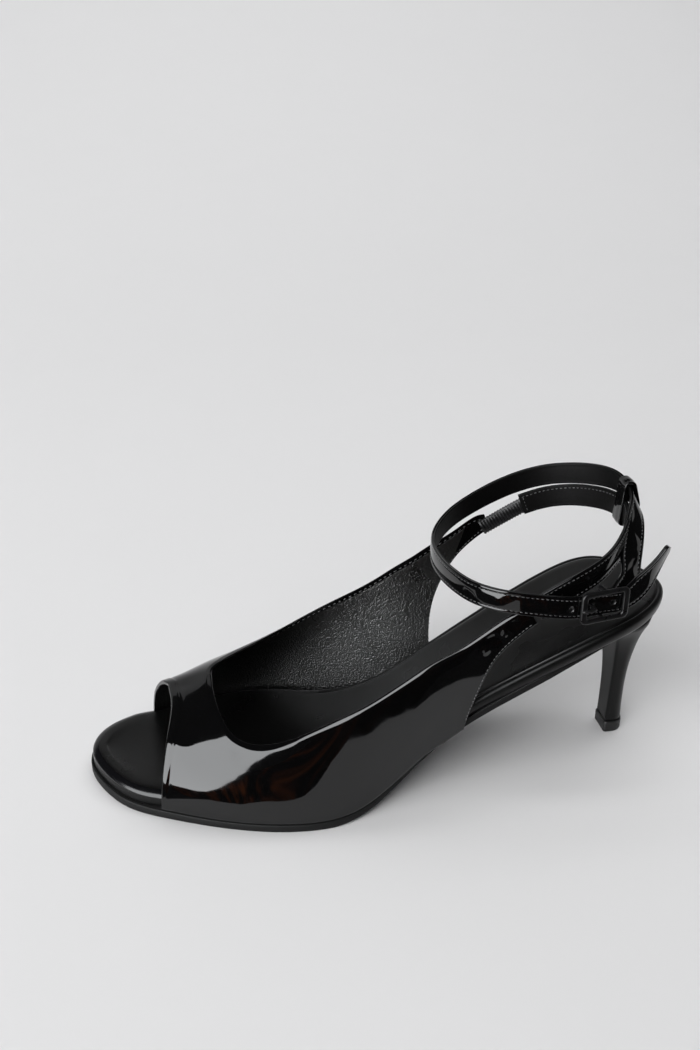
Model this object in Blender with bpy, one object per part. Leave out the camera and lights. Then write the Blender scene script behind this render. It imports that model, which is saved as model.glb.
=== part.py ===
"""Left peep-toe slingback shoe with an ankle strap and a slim low heel.

The shoe stands on the floor at z = 0, toe towards -X, inner side towards +Y.
Tables and sizes are in millimetres, measured from the front edge of the heel
tip; ORIGIN moves the shoe over the middle of its own footprint.
"""
import bpy
import numpy as np
from mathutils import Vector

MM = 0.001
ORIGIN = (-94.2, -0.6, 0.0)
GAP = 0.3                     # clearance between neighbouring pieces
INSOLE_THICK = 6.0            # wrapped footbed, measured upright
INSOLE_ROUND = 2.2            # radius of its wrapped edge
OUTSOLE_THICK = 2.9
TOE_SPRING = 0.7              # rise of the outsole's toe off the floor
RIDGE_ROUND = 0.16            # roundness of the vamp's ridge, share of its half width
WALL = 1.5                    # leather and lining of the upper
STRAP_WIDTH = 8.6
STRAP_THICK = 1.6
SLING_WIDTH = 9.0
ELASTIC_WIDTH = 8.2
LOOP_WIDTH = 6.4              # loop at the back of the heel
LOOP_THICK = 1.1
LOOP_ROUND = 1.1
LOOP_CLEAR = 0.4              # room inside it beside the straps
LOOP_Y = 5.7                  # its place across the heel
TIP_HEIGHT = 5.0              # top piece of the heel
HOLE_PITCH = 8.3
HOLE_RADIUS = 1.0

# Sole outline and footbed profile: lateral and medial edge, footbed height.
SOLE_COLUMNS = ("x", "lateral", "medial", "top")
SOLE = (
    (-207.3, 7.3, 7.3, 11.2),
    (-203.0, -6.3, 20.6, 10.7),
    (-194.0, -18.2, 28.6, 9.9),
    (-180.0, -26.8, 34.8, 9.4),
    (-158.0, -36.4, 41.0, 9.2),
    (-132.0, -42.8, 40.6, 9.2),
    (-110.0, -40.7, 34.5, 10.2),
    (-92.0, -32.5, 29.8, 16.4),
    (-72.0, -27.5, 27.5, 30.3),
    (-48.0, -27.7, 29.2, 44.8),
    (-20.0, -29.2, 31.6, 59.5),
    (0.0, -26.4, 29.2, 66.6),
    (12.0, -17.6, 20.6, 67.3),
    (21.0, 1.6, 1.6, 67.2),
)
# Sections of the last above the feather edge: ridge, squareness, side flare.
LAST_COLUMNS = ("x", "ridge_y", "ridge_z", "lateral_square", "medial_square", "lateral_flare", "medial_flare")
LAST = (
    (-186, 9.0, 33.2, 3.2, 1.36, 0.0, 0.0),
    (-176, 9.0, 34.9, 3.2, 1.36, 0.0, 0.0),
    (-158, 5.0, 40.8, 2.7, 1.75, 0.0, 0.0),
    (-145, 2.5, 43.0, 2.5, 2.3, -2.0, 2.0),
    (-132, 1.5, 50.0, 2.5, 2.5, -4.0, 6.0),
    (-110, 1.0, 75.0, 2.7, 2.7, -5.0, 12.7),
    (-81, 1.0, 110.0, 2.7, 2.7, 10.5, 19.6),
    (-60, 1.0, 125.0, 2.7, 2.7, 12.9, 22.8),
    (-40, 1.0, 140.0, 2.7, 2.7, 13.8, 24.0),
)
# Pattern of the upper on the last: girth runs from 0 at the lateral feather
# edge over 0.5 at the ridge to 1 at the medial feather edge.
EDGE_COLUMNS = ("station", "x", "girth")
LATERAL_REAR = ((0, -42.5, 0.0755), (1, -50.8, 0.068), (2, -57.5, 0.053), (3, -62.3, 0.026), (4, -66.6, 0.0))
PEEP = ((10, -181.0, 0.0), (10.8, -178.1, 0.211), (11.3, -176.1, 0.338), (11.75, -174.6, 0.460),
        (12.1, -176.2, 0.530), (12.5, -178.1, 0.610), (13, -180.4, 0.710), (13.5, -182.0, 0.820), (14, -183.0, 1.0))
MEDIAL_REAR = ((20, -67.2, 1.0), (21, -66.8, 0.974), (22, -63.0, 0.944), (23, -54.0, 0.919), (24, -41.0, 0.915))
TOPLINE = (
    (0, -47.4, 0.110), (1, -55.6, 0.109), (2, -64.2, 0.106), (3, -70.6, 0.104), (4, -77.2, 0.110),
    (6, -103.6, 0.139), (8, -129.0, 0.205), (9, -143.7, 0.231), (10, -153.0, 0.277), (11, -157.6, 0.386),
    (12, -158.5, 0.500), (13, -155.4, 0.560), (14, -147.5, 0.640), (15, -137.0, 0.720), (16, -125.0, 0.778),
    (18, -95.0, 0.857), (20, -69.5, 0.874), (22, -55.5, 0.880), (24, -43.0, 0.884),
)
# Clearance of the insole's two sides and the outsole inside the sole outline.
INSET_COLUMNS = ("x", "insole_lateral", "insole_medial", "outsole")
INSET = (
    (-207.3, 1.0, 1.0, 0.0),
    (-190, 1.3, 1.3, 0.0),
    (-186, 1.6, 2.2, 0.0),
    (-182, 2.1, 3.3, 0.0),
    (-160, 2.4, 3.3, 0.0),
    (-140, 2.4, 2.4, 0.0),
    (-116, 2.4, 2.4, 0.0),
    (-102, 2.3, 2.3, 0.5),
    (-92, 2.3, 2.3, 1.3),
    (-85, 2.3, 2.3, 2.1),
    (-60, 2.2, 2.2, 2.5),
    (-35, 2.2, 2.2, 3.6),
    (-9, 2.2, 2.2, 6.5),
    (21, 2.2, 2.2, 6.5),
)
# Heel sections: height, front of the breast, back, half width.
HEEL_COLUMNS = ("z", "front", "back", "half_width")
HEEL = ((TIP_HEIGHT + GAP, 0.4, 8.4, 4.9), (20, 0.7, 8.2, 5.4), (34, 0.4, 9.2, 6.9), (44, -0.8, 11.0, 9.4),
        (51, -3.0, 12.4, 13.2), (56, -5.8, 13.8, 17.0))
HEEL_TOP = (-8.3, 14.6, 19.2)  # front, back and half width under the seat
TIP = (0.0, 8.8, 5.3)
# Straps: centre line and roll of the flat side about it, in degrees.
PATH_COLUMNS = ("x", "y", "z", "roll")
SLING = ((-44.3, -31.9, 78.9, 0), (-36, -32.6, 84.6, 0), (-27.5, -32.0, 89.0, 0), (-18.5, -29.0, 92.7, 0),
         (-9.2, -19.8, 95.3, 0), (-2.0, -8.0, 96.9, 0), (1.3, 3.0, 97.6, 0), (0.2, 13.0, 97.2, 0),
         (-4.6, 22.0, 95.7, 0), (-11, 29.0, 93.6, 0), (-19.5, 33.2, 91.2, 0), (-28.6, 35.2, 87.8, 0))
ELASTIC = ((-29.3, 35.3, 87.3, 0), (-35.3, 35.9, 83.8, 0), (-41.3, 36.1, 80.4, 0))
BUCKLE = (-21.6, -37.0, 82.7)  # centre of the buckle
BUCKLE_TURN = 9.4              # its turn about the vertical, in degrees
BUCKLE_SIZE = (19.0, 12.4, 1.6)
BUCKLE_BAR = 1.4
CHAPE = ((-14.0, -32.4, 83.8, -6), (-8.4, -28.2, 85.8, -22), (-4.4, -22.0, 89.6, -32), (-1.2, -15.6, 94.8, -32),
         (2.0, -8.0, 99.8, -28), (4.3, -0.6, 103.2, -22))
ROUND_ANKLE = ((4.2, 6.4, 104.6, -18), (2.0, 14.2, 105.3, -10), (-3.8, 23.4, 104.5, 0), (-10.8, 30.6, 102.5, 0),
               (-18.4, 35.4, 100.3, 0), (-28.2, 37.6, 97.5, 0), (-38.7, 37.4, 94.0, 0), (-49.6, 35.0, 90.1, 0),
               (-58.8, 30.0, 87.4, 0), (-66.8, 21.0, 85.6, 0), (-71.9, 8.5, 85.0, 0), (-72.4, -4.0, 85.0, 0),
               (-70.0, -17.0, 85.5, 0), (-65.0, -28.0, 85.9, 0), (-56.8, -35.0, 85.9, 0), (-47.0, -37.8, 84.9, 0),
               (-39.0, -38.9, 83.9, 0))
TAIL = ((-7.4, -33.6, 85.0, 14), (-1.0, -31.0, 90.6, 34), (5.4, -28.0, 98.2, 46))

LEATHER = ((0.012, 0.012, 0.013, 1), 0.12, 0.0)
LINING = ((0.016, 0.016, 0.017, 1), 0.45, 0.0)
RUBBER = ((0.014, 0.014, 0.015, 1), 0.55, 0.0)
WEBBING = ((0.018, 0.018, 0.018, 1), 0.80, 0.0)
LACQUER = ((0.015, 0.015, 0.016, 1), 0.22, 0.3)


def spline(keys, values):
    """Natural cubic through the rows; the returned function takes one key."""
    keys = np.asarray(keys, float)
    values = np.asarray(values, float)
    count = len(keys)
    step = np.diff(keys)
    wide = step.reshape((-1,) + (1,) * (values.ndim - 1))
    slope = np.diff(values, axis=0) / wide
    matrix = np.eye(count)
    right = np.zeros_like(values)
    for i in range(1, count - 1):
        matrix[i, i - 1:i + 2] = step[i - 1], 2 * (step[i - 1] + step[i]), step[i]
        right[i] = 6 * (slope[i] - slope[i - 1])
    bend = np.linalg.solve(matrix, right)

    def at(key):
        key = min(max(float(key), keys[0]), keys[-1])
        i = min(max(int(np.searchsorted(keys, key)) - 1, 0), count - 2)
        u, v, h = key - keys[i], keys[i + 1] - key, step[i]
        curve = (bend[i] * v ** 3 + bend[i + 1] * u ** 3) / (6 * h)
        return curve + (values[i] / h - bend[i] * h / 6) * v + (values[i + 1] / h - bend[i + 1] * h / 6) * u
    return at


def table(rows):
    rows = np.array(rows, float)
    return spline(rows[:, 0], rows[:, 1:])


def smooth(low, high, value):
    t = min(max((value - low) / (high - low), 0), 1)
    return t * t * (3 - 2 * t)


TOE, REAR = SOLE[0][0], SOLE[-1][0]


def along(x):
    return np.arccos(np.clip(1 - 2 * (x - TOE) / (REAR - TOE), -1, 1)) / np.pi


def along_x(t):
    return TOE + (REAR - TOE) * (1 - np.cos(np.pi * t)) / 2


sole_sides = spline([along(row[0]) for row in SOLE], [row[1:3] for row in SOLE])
footbed = spline([row[0] for row in SOLE], [row[3] for row in SOLE])
last_section = table(LAST)
inset_rows = np.array(INSET)
lateral_rear, peep, medial_rear, topline = table(LATERAL_REAR), table(PEEP), table(MEDIAL_REAR), table(TOPLINE)


def insole_bottom(x):
    return float(footbed(x)) - INSOLE_THICK


def outsole_bottom(x):
    """Flat under the ball, a little spring at the toe, the arch behind."""
    if x < -145:
        return TOE_SPRING * min(max((-182 - x) / 25, 0), 1) ** 1.6
    return max(0.0, insole_bottom(x) - GAP - OUTSOLE_THICK - 0.12)


def feather(x):
    """Height of the upper's lower edge: on the outsole, lower round the waist."""
    return insole_bottom(x) - 2.2 * smooth(-84, -71, x)


def on_last(x, girth):
    """Point of the last's surface, at the sections' rows and in between."""
    ridge_y, ridge_z, lateral_square, medial_square, lateral_flare, medial_flare = last_section(x)
    lateral, medial = sole_sides(along(x))
    c, s = np.cos(np.pi * girth), np.sin(np.pi * girth)
    square = lateral_square if c > 0 else medial_square
    rise = max(s, 0.0) ** (2 / square)
    reach = abs(c) ** (2 / square)
    if c < 0:
        # The inner half of the vamp keeps a round top where its wall slopes in.
        soft = RIDGE_ROUND * smooth(136, 166, -x)
        reach = np.sqrt(((np.hypot(1, soft) - soft) * reach + soft) ** 2 - soft ** 2)
    edge = lateral + 0.1 - lateral_flare * rise if c > 0 else medial - 0.1 + medial_flare * rise
    low = feather(x)
    return np.array([x, ridge_y + (edge - ridge_y) * reach, low + (ridge_z - low) * rise])


def lower_edge(station):
    """The upper's outer edge: quarter rear, feather edge, open toe, and back."""
    if station <= 4:
        return lateral_rear(station)
    if station <= 10:
        return np.array([np.interp(station, (4, 10), (LATERAL_REAR[-1][1], PEEP[0][1])), 0.0])
    if station <= 14:
        return peep(station)
    if station <= 20:
        return np.array([np.interp(station, (14, 20), (PEEP[-1][1], MEDIAL_REAR[0][1])), 1.0])
    return medial_rear(station)


def upper_point(station, across):
    low, high = lower_edge(station), topline(station)
    x, girth = low + (high - low) * across
    return on_last(x, min(max(girth, 0.0), 1.0))


def upper_normal(station, across):
    """Unit vector out of the upper's outer face."""
    ds, dt = 0.02, 0.004
    s0, s1 = max(station - ds, 0), min(station + ds, 24)
    t0, t1 = max(across - dt, 0), min(across + dt, 1)
    go = upper_point(s1, across) - upper_point(s0, across)
    up = upper_point(station, t1) - upper_point(station, t0)
    normal = np.cross(up, go)
    return normal / np.linalg.norm(normal)


def make(name, points, faces, finish):
    mesh = bpy.data.meshes.new(name)
    shift = np.array(ORIGIN)
    mesh.from_pydata([tuple((np.asarray(p) - shift) * MM) for p in points], [], faces)
    mesh.validate()
    obj = bpy.data.objects.new(name, mesh)
    bpy.context.scene.collection.objects.link(obj)
    material = bpy.data.materials.new(name)
    material.use_nodes = True
    shader = material.node_tree.nodes["Principled BSDF"]
    shader.inputs["Base Color"].default_value = finish[0]
    shader.inputs["Roughness"].default_value = finish[1]
    shader.inputs["Metallic"].default_value = finish[2]
    mesh.materials.append(material)
    mesh.shade_smooth()
    mesh.set_sharp_from_angle(angle=np.radians(35))
    return obj


def ring_faces(first, second, count, closed=True):
    steps = range(count if closed else count - 1)
    return [(first + i, first + (i + 1) % count, second + (i + 1) % count, second + i) for i in steps]


def sole_ring(half, stop, inset_columns, inset_more, height):
    """One closed outline: toe, lateral side, rear end, medial side."""
    rows = []
    for i in range(2 * half):
        j = i if i <= half else 2 * half - i
        t = stop * j / half
        side = 0 if i <= half else 1
        if j == 0 or (j == half and stop >= 1):
            point = np.array([along_x(t), sole_sides(t).mean()])
            out = np.array([-1.0 if j == 0 else 1.0, 0.0])
        else:
            point = np.array([along_x(t), sole_sides(t)[side]])
            near = [np.array([along_x(k), sole_sides(k)[side]]) for k in (max(t - 1e-3, 0), min(t + 1e-3, 1))]
            go = near[1] - near[0]
            out = np.array([go[1], -go[0]]) / np.linalg.norm(go)
            out = out if side == 0 else -out
        inset = np.interp(point[0], inset_rows[:, 0], inset_rows[:, inset_columns[side]]) + inset_more
        x, y = point - out * inset
        rows.append((x, y, height(x)))
    return rows


def sole_body(name, rings, finish):
    """Stack of outlines, closed at both ends by rungs from side to side."""
    count = len(rings[0])
    half = count // 2
    points = [p for ring in rings for p in ring]
    faces = []
    for k in range(len(rings) - 1):
        faces += ring_faces(k * count, (k + 1) * count, count)
    last_ring = (len(rings) - 1) * count
    for i in range(half):
        a, b, c, d = i, i + 1, (count - i - 1) % count, (count - i) % count
        rung = (a, b, c) if i == 0 else (a, b, d) if i == half - 1 else (a, b, c, d)
        faces.append(tuple(reversed(rung)))
        faces.append(tuple(last_ring + k for k in rung))
    return make(name, points, faces, finish)


def build_insole(half=44):
    r = INSOLE_ROUND
    edge = ((1.0, 0.0), (0.0, 1.2), (0.0, INSOLE_THICK - r), (0.3 * r, INSOLE_THICK - 0.3 * r), (r, INSOLE_THICK))
    rings = [sole_ring(half, 1.0, (1, 2), more, lambda x, h=up: insole_bottom(x) + h) for more, up in edge]
    return sole_body("insole", rings, LINING)


def build_outsole(half=40):
    stop = along(-9.0)
    edge = ((0.5, 0.0), (0.0, 0.5), (0.0, 1.0))
    rings = []
    for more, share in edge:
        def height(x, k=share):
            low, high = outsole_bottom(x), insole_bottom(x) - GAP
            return low + (high - low) * k
        rings.append(sole_ring(half, stop, (3, 3), more, height))
    return sole_body("outsole", rings, RUBBER)


def build_upper(stations=108, rows=9):
    """Hollow wall: outer face on the last, inner face one wall inside it."""
    outer, inner = [], []
    for i in range(stations + 1):
        station = 24 * i / stations
        for j in range(rows + 1):
            across = (j / rows) ** 1.35
            point = upper_point(station, across)
            outer.append(point)
            inner.append(point - WALL * upper_normal(station, across))
    wide = rows + 1
    points = outer + inner
    back = len(outer)
    faces = []
    for i in range(stations):
        for j in range(rows):
            a = i * wide + j
            quad = (a, a + wide, a + wide + 1, a + 1)
            faces.append(tuple(reversed(quad)))
            faces.append(tuple(back + k for k in quad))
    rim = [i * wide for i in range(stations + 1)]
    rim += [stations * wide + j for j in range(1, wide)]
    rim += [i * wide + rows for i in range(stations - 1, -1, -1)]
    rim += [j for j in range(rows - 1, 0, -1)]
    for a, b in zip(rim, rim[1:] + rim[:1]):
        faces.append((a, b, back + b, back + a))
    return make("upper", points, faces, LEATHER)


def heel_ring(front, back, half_width, height):
    """Flat breast with small corners, straight cheeks, rounded back."""
    corner = min(1.2, 0.2 * half_width)
    middle = front + 0.4 * (back - front)
    ring = [(front, 0.0), (front, -(half_width - corner)), (front + 0.3 * corner, -(half_width - 0.3 * corner)),
            (front + corner, -half_width)]
    for k in range(0, 13):
        turn = np.pi * (k / 12 - 0.5)
        ring.append((middle + (back - middle) * np.cos(turn), half_width * np.sin(turn)))
    ring += [(front + corner, half_width), (front + 0.3 * corner, half_width - 0.3 * corner),
             (front, half_width - corner)]
    return [(x, y, height(x)) for x, y in ring]


def loft(name, rings, finish):
    count = len(rings[0])
    points = [p for ring in rings for p in ring]
    faces = [tuple(reversed(range(count)))]
    for k in range(len(rings) - 1):
        faces += ring_faces(k * count, (k + 1) * count, count)
    faces.append(tuple((len(rings) - 1) * count + i for i in range(count)))
    return make(name, points, faces, finish)


def build_heel(levels=12):
    rows = np.array(HEEL, float)
    section = spline(rows[:, 0], rows[:, 1:])
    rings = []
    for i in range(levels + 1):
        z = rows[0, 0] + (rows[-1, 0] - rows[0, 0]) * i / levels
        front, back, half_width = section(z)
        # Near the seat each level follows the slope of the seat.
        blend = smooth(46, 58, z)
        rings.append(heel_ring(front, back, half_width,
                               lambda x, z=z, b=blend: z + b * 0.7 * (insole_bottom(x) - insole_bottom(5))))
    rings.append(heel_ring(*HEEL_TOP, lambda x: insole_bottom(x) - GAP))
    return loft("heel", rings, LEATHER)


def build_heel_tip():
    front, back, half_width = TIP
    rings = [heel_ring(front + 0.3, back - 0.3, half_width - 0.3, lambda x: 0.0),
             heel_ring(front, back, half_width, lambda x: 0.4),
             heel_ring(front, back, half_width, lambda x: TIP_HEIGHT)]
    return loft("heel_tip", rings, RUBBER)


def frame_along(path, k):
    """Tangent, width and face directions of a strap at key k of its path."""
    a, b = path(k - 0.02), path(k + 0.02)
    go = b[:3] - a[:3]
    go /= np.linalg.norm(go)
    face = np.cross(go, (0.0, 0.0, 1.0))
    face /= np.linalg.norm(face)
    width = np.cross(face, go)
    roll = np.radians(path(k)[3])
    return go, width * np.cos(roll) + face * np.sin(roll), face * np.cos(roll) - width * np.sin(roll)


def strap(name, rows, width, thick, steps, finish, start=0.0, ends=None):
    """Flat band swept along its centre line; the section has eased corners."""
    rows = np.array(rows, float)
    chord = np.concatenate([[0], np.cumsum(np.linalg.norm(np.diff(rows[:, :3], axis=0), axis=1))])
    keys = chord / chord[-1] * (len(rows) - 1)
    path = spline(keys, rows)
    rings = []
    count = steps * (len(rows) - 1)
    w, t, ease = width / 2, thick / 2, 0.3
    outline = ((-w + ease, -t), (w - ease, -t), (w, -t + ease), (w, t - ease),
               (w - ease, t), (-w + ease, t), (-w, t - ease), (-w, -t + ease))
    for i in range(count + 1):
        k = keys[-1] * i / count
        centre = path(k)[:3]
        go, wide, face = frame_along(path, min(max(k, 0.02), keys[-1] - 0.02))
        rings.append([centre + wide * a + face * b for a, b in outline])
    return loft(name, rings, finish)


def buckle_axes():
    turn = np.radians(BUCKLE_TURN)
    return (np.array([np.cos(turn), np.sin(turn), 0.0]), np.array([0.0, 0.0, 1.0]),
            np.array([np.sin(turn), -np.cos(turn), 0.0]))


def buckle_point(a, b, c):
    """Point in the buckle's own frame: along the strap, up, outwards."""
    along_strap, up, out = buckle_axes()
    return np.array(BUCKLE) + along_strap * a + up * b + out * c


def rounded(width, height, radius, corner_steps=4):
    loop = []
    for sx, sy, start in ((1, 1, 0), (-1, 1, 90), (-1, -1, 180), (1, -1, 270)):
        for k in range(corner_steps + 1):
            turn = np.radians(start + 90 * k / corner_steps)
            loop.append((sx * (width / 2 - radius) + radius * np.cos(turn),
                         sy * (height / 2 - radius) + radius * np.sin(turn)))
    return loop


def cuboid(name, low, high, finish):
    corners = [buckle_point(a, b, c) for a in (low[0], high[0]) for b in (low[1], high[1]) for c in (low[2], high[2])]
    faces = [(0, 1, 3, 2), (4, 6, 7, 5), (0, 4, 5, 1), (2, 3, 7, 6), (0, 2, 6, 4), (1, 5, 7, 3)]
    return make(name, corners, faces, finish)


def hide_cutter(obj):
    obj.hide_render = True
    obj.display_type = 'WIRE'


def face_outward(obj):
    """Turn every face of a closed body outwards."""
    import bmesh
    work = bmesh.new()
    work.from_mesh(obj.data)
    bmesh.ops.recalc_face_normals(work, faces=work.faces)
    work.to_mesh(obj.data)
    work.free()


def build_buckle():
    """Rounded frame outside the strap, posts past its edges, bar inside it."""
    length, height, thick = BUCKLE_SIZE
    base = STRAP_THICK / 2 + GAP
    outer = rounded(length, height, 2.2)
    inside = rounded(length - 2 * BUCKLE_BAR - 0.6, height - 2 * BUCKLE_BAR, 1.0)
    count = len(outer)
    points = []
    for loop, level in ((outer, base), (outer, base + thick), (inside, base + thick), (inside, base)):
        points += [buckle_point(a, b, level) for a, b in loop]
    faces = []
    for k in range(4):
        faces += ring_faces(k * count, (k + 1) % 4 * count, count)
    buckle = make("buckle", points, faces, LACQUER)
    face_outward(buckle)
    low = -base - thick
    bar = cuboid("buckle_bar_tool", (-0.9, -height / 2 + 0.02, low), (0.9, height / 2 - 0.02, -base), LACQUER)
    posts = [cuboid(f"buckle_post_tool_{side}", (-0.9, min(side * s for s in reach), low),
                    (0.9, max(side * s for s in reach), base + thick - 0.2), LACQUER)
             for side, reach in ((-1, (STRAP_WIDTH / 2 + GAP, height / 2 - 0.02)),
                                 (1, (STRAP_WIDTH / 2 + GAP, height / 2 - 0.02)))]
    for tool in posts + [bar]:
        face_outward(tool)
        hide_cutter(tool)
        join = buckle.modifiers.new(tool.name, 'BOOLEAN')
        join.operation = 'UNION'
        join.solver = 'EXACT'
        join.object = tool
    return buckle


def build_prong():
    """Pin from the bar, up through the strap's hole, onto the frame's front bar."""
    r = 0.6
    inside = -STRAP_THICK / 2 - GAP - 0.8
    outside = STRAP_THICK / 2 + GAP + BUCKLE_SIZE[2] + GAP + r
    hole = -HOLE_PITCH / 2 - 0.25
    bends = ((-1.3, inside), (hole + 0.7, inside), (hole, inside + 0.7), (hole, outside - 0.7),
             (hole - 0.7, outside), (-BUCKLE_SIZE[0] / 2 - 0.2, outside))
    rings = []
    for i, (a, c) in enumerate(bends):
        before, after = bends[max(i - 1, 0)], bends[min(i + 1, len(bends) - 1)]
        go = np.array(after) - np.array(before)
        go = go / np.linalg.norm(go)
        side = np.array([-go[1], go[0]])
        ring = []
        for k in range(8):
            turn = 2 * np.pi * k / 8
            n, b = r * np.cos(turn), r * np.sin(turn)
            ring.append(buckle_point(a + side[0] * n, b, c + side[1] * n))
        rings.append(ring)
    prong = loft("buckle_prong", rings, LACQUER)
    face_outward(prong)
    return prong


def build_ankle_strap():
    """One band: buckle bar, loop at the back, round the ankle, buckle, tail."""
    depth = STRAP_THICK + GAP
    fold = [tuple(buckle_point(a, 0.0, -depth)) + (0,) for a in (1.4, 4.5)]
    through = [tuple(buckle_point(a, 0.0, 0.0)) + (0,) for a in (-9.0, 0.0, 9.0)]
    band = strap("ankle_strap", fold + list(CHAPE) + list(ROUND_ANKLE) + through + list(TAIL),
                 STRAP_WIDTH, STRAP_THICK, 5, LEATHER)
    face_outward(band)
    first = -HOLE_PITCH / 2 - 0.25
    for k in range(-1, 2):
        centre = first + k * HOLE_PITCH
        ring = []
        for level in (-STRAP_THICK, STRAP_THICK):
            ring.append([buckle_point(centre + HOLE_RADIUS * np.cos(2 * np.pi * i / 12),
                                      HOLE_RADIUS * np.sin(2 * np.pi * i / 12), level) for i in range(12)])
        punch = loft(f"strap_hole_tool_{k + 1}", ring, LEATHER)
        face_outward(punch)
        hide_cutter(punch)
        cut = band.modifiers.new(punch.name, 'BOOLEAN')
        cut.operation = 'DIFFERENCE'
        cut.solver = 'EXACT'
        cut.object = punch
    return band


def build_loop():
    """Band round the sling strap and the ankle strap at the back of the heel."""
    sling, ankle = np.array(SLING[6][:3]), np.array(ROUND_ANKLE[0][:3])
    clear = STRAP_THICK / 2 + LOOP_CLEAR
    low, high = sling[2] - SLING_WIDTH / 2 - 0.8, ankle[2] + STRAP_WIDTH / 2 + 0.7
    inside = sling[0] - clear - 0.3
    # Inner outline in the x, z plane: upright inside, leaning with the ankle strap outside.
    corners = np.array(((inside, low), (sling[0] + clear, low), (ankle[0] + clear + 1.5, ankle[2] - 4.6),
                        (ankle[0] + clear - 0.7, high), (inside + 0.6, high)))
    inner = []
    for k, corner in enumerate(corners):
        arms = [end - corner for end in (corners[k - 1], corners[(k + 1) % len(corners)])]
        arms = [LOOP_ROUND * arm / np.linalg.norm(arm) for arm in arms]
        for t in (0.0, 0.33, 0.67, 1.0):
            inner.append(corner + (1 - t) ** 2 * arms[0] + t ** 2 * arms[1])
    outer = []
    for k, point in enumerate(inner):
        go = inner[(k + 1) % len(inner)] - inner[k - 1]
        outer.append(point + LOOP_THICK * np.array([go[1], -go[0]]) / np.linalg.norm(go))
    half = LOOP_WIDTH / 2
    rings = [[(x, LOOP_Y + y, z) for x, z in loop]
             for loop, y in ((outer, -half), (outer, half), (inner, half), (inner, -half))]
    count = len(inner)
    points = [p for ring in rings for p in ring]
    faces = []
    for k in range(4):
        faces += ring_faces(k * count, (k + 1) % 4 * count, count)
    return make("strap_loop", points, faces, LEATHER)


def main():
    for obj in list(bpy.data.objects):
        bpy.data.objects.remove(obj, do_unlink=True)
    shoe = bpy.data.objects.new("shoe", None)
    bpy.context.scene.collection.objects.link(shoe)
    pieces = [build_outsole(), build_insole(), build_upper(), build_heel(), build_heel_tip(),
              strap("sling_strap", SLING, SLING_WIDTH, STRAP_THICK, 5, LEATHER),
              strap("elastic", ELASTIC, ELASTIC_WIDTH, 1.3, 5, WEBBING),
              build_ankle_strap(), build_loop(), build_buckle(), build_prong()]
    for piece in pieces:
        face_outward(piece)
        piece.parent = shoe


main()
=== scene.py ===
import bmesh
import bpy
import numpy as np
from mathutils import Matrix, Vector


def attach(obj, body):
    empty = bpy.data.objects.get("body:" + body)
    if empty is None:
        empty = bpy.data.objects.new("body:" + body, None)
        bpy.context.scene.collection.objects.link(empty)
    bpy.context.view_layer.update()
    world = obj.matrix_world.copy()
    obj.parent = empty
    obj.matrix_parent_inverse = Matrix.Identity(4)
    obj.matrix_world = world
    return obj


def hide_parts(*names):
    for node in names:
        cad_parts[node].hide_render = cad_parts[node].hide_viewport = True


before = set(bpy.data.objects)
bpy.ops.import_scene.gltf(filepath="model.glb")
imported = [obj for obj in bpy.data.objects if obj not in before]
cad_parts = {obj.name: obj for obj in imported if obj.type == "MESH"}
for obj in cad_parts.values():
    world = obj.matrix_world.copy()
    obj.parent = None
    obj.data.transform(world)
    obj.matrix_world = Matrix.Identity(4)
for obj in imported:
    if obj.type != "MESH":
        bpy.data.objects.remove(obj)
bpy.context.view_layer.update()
scene = bpy.context.scene
scene.view_settings.view_transform = "Standard"
mm = 0.001
shoeMiddle = np.array((-94.2, -0.6, 0.0))  # middle of the footprint


# Tables are in millimetres from the heel tip's front edge: toe to -X, outer side to -Y

def smooth(low, high, value):
    t = np.clip((np.asarray(value, float) - low) / (high - low), 0, 1)
    return t * t * (3 - 2 * t)


def curveThrough(keys, values):  # natural cubic through the rows, for one key or an array of them
    keys, values = np.asarray(keys, float), np.asarray(values, float)
    flat = values.reshape(len(keys), -1)
    step = np.diff(keys)
    slope = np.diff(flat, axis=0) / step[:, None]
    matrix, right = np.eye(len(keys)), np.zeros_like(flat)
    for i in range(1, len(keys) - 1):
        matrix[i, i - 1:i + 2] = step[i - 1], 2 * (step[i - 1] + step[i]), step[i]
        right[i] = 6 * (slope[i] - slope[i - 1])
    bend = np.linalg.solve(matrix, right)

    def at(key):
        key = np.clip(np.asarray(key, float), keys[0], keys[-1])
        i = np.clip(np.searchsorted(keys, key) - 1, 0, len(keys) - 2)
        u, v, h = ((key - keys[i])[..., None], (keys[i + 1] - key)[..., None], step[i][..., None])
        got = (bend[i] * v ** 3 + bend[i + 1] * u ** 3) / (6 * h)
        got = got + (flat[i] / h - bend[i] * h / 6) * v + (flat[i + 1] / h - bend[i + 1] * h / 6) * u
        return got.reshape(key.shape + values.shape[1:])
    return at


def curveOf(table):  # the first column is the key
    rows = np.array(table, float)
    return curveThrough(rows[:, 0], rows[:, 1:])


def unit(v):
    return v / np.maximum(np.linalg.norm(v, axis=-1, keepdims=True), 1e-9)


def wayAlong(line):  # length so far at each point of a polyline
    return np.concatenate([[0], np.cumsum(np.linalg.norm(np.diff(line, axis=0), axis=1))])


def sampled(at, way, rows):  # the rows' columns at those lengths
    return np.stack([np.interp(at, way, column) for column in rows.T], 1)


def evenly(line, pitch, *others):  # points at an even pitch along a polyline, with what goes along with it
    way = wayAlong(line)
    count = max(2, int(round(way[-1] / pitch)))
    at = (np.arange(count) + 0.5) * way[-1] / count
    return [sampled(at, way, rows) for rows in (line,) + others]


# Nodes and meshes

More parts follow.
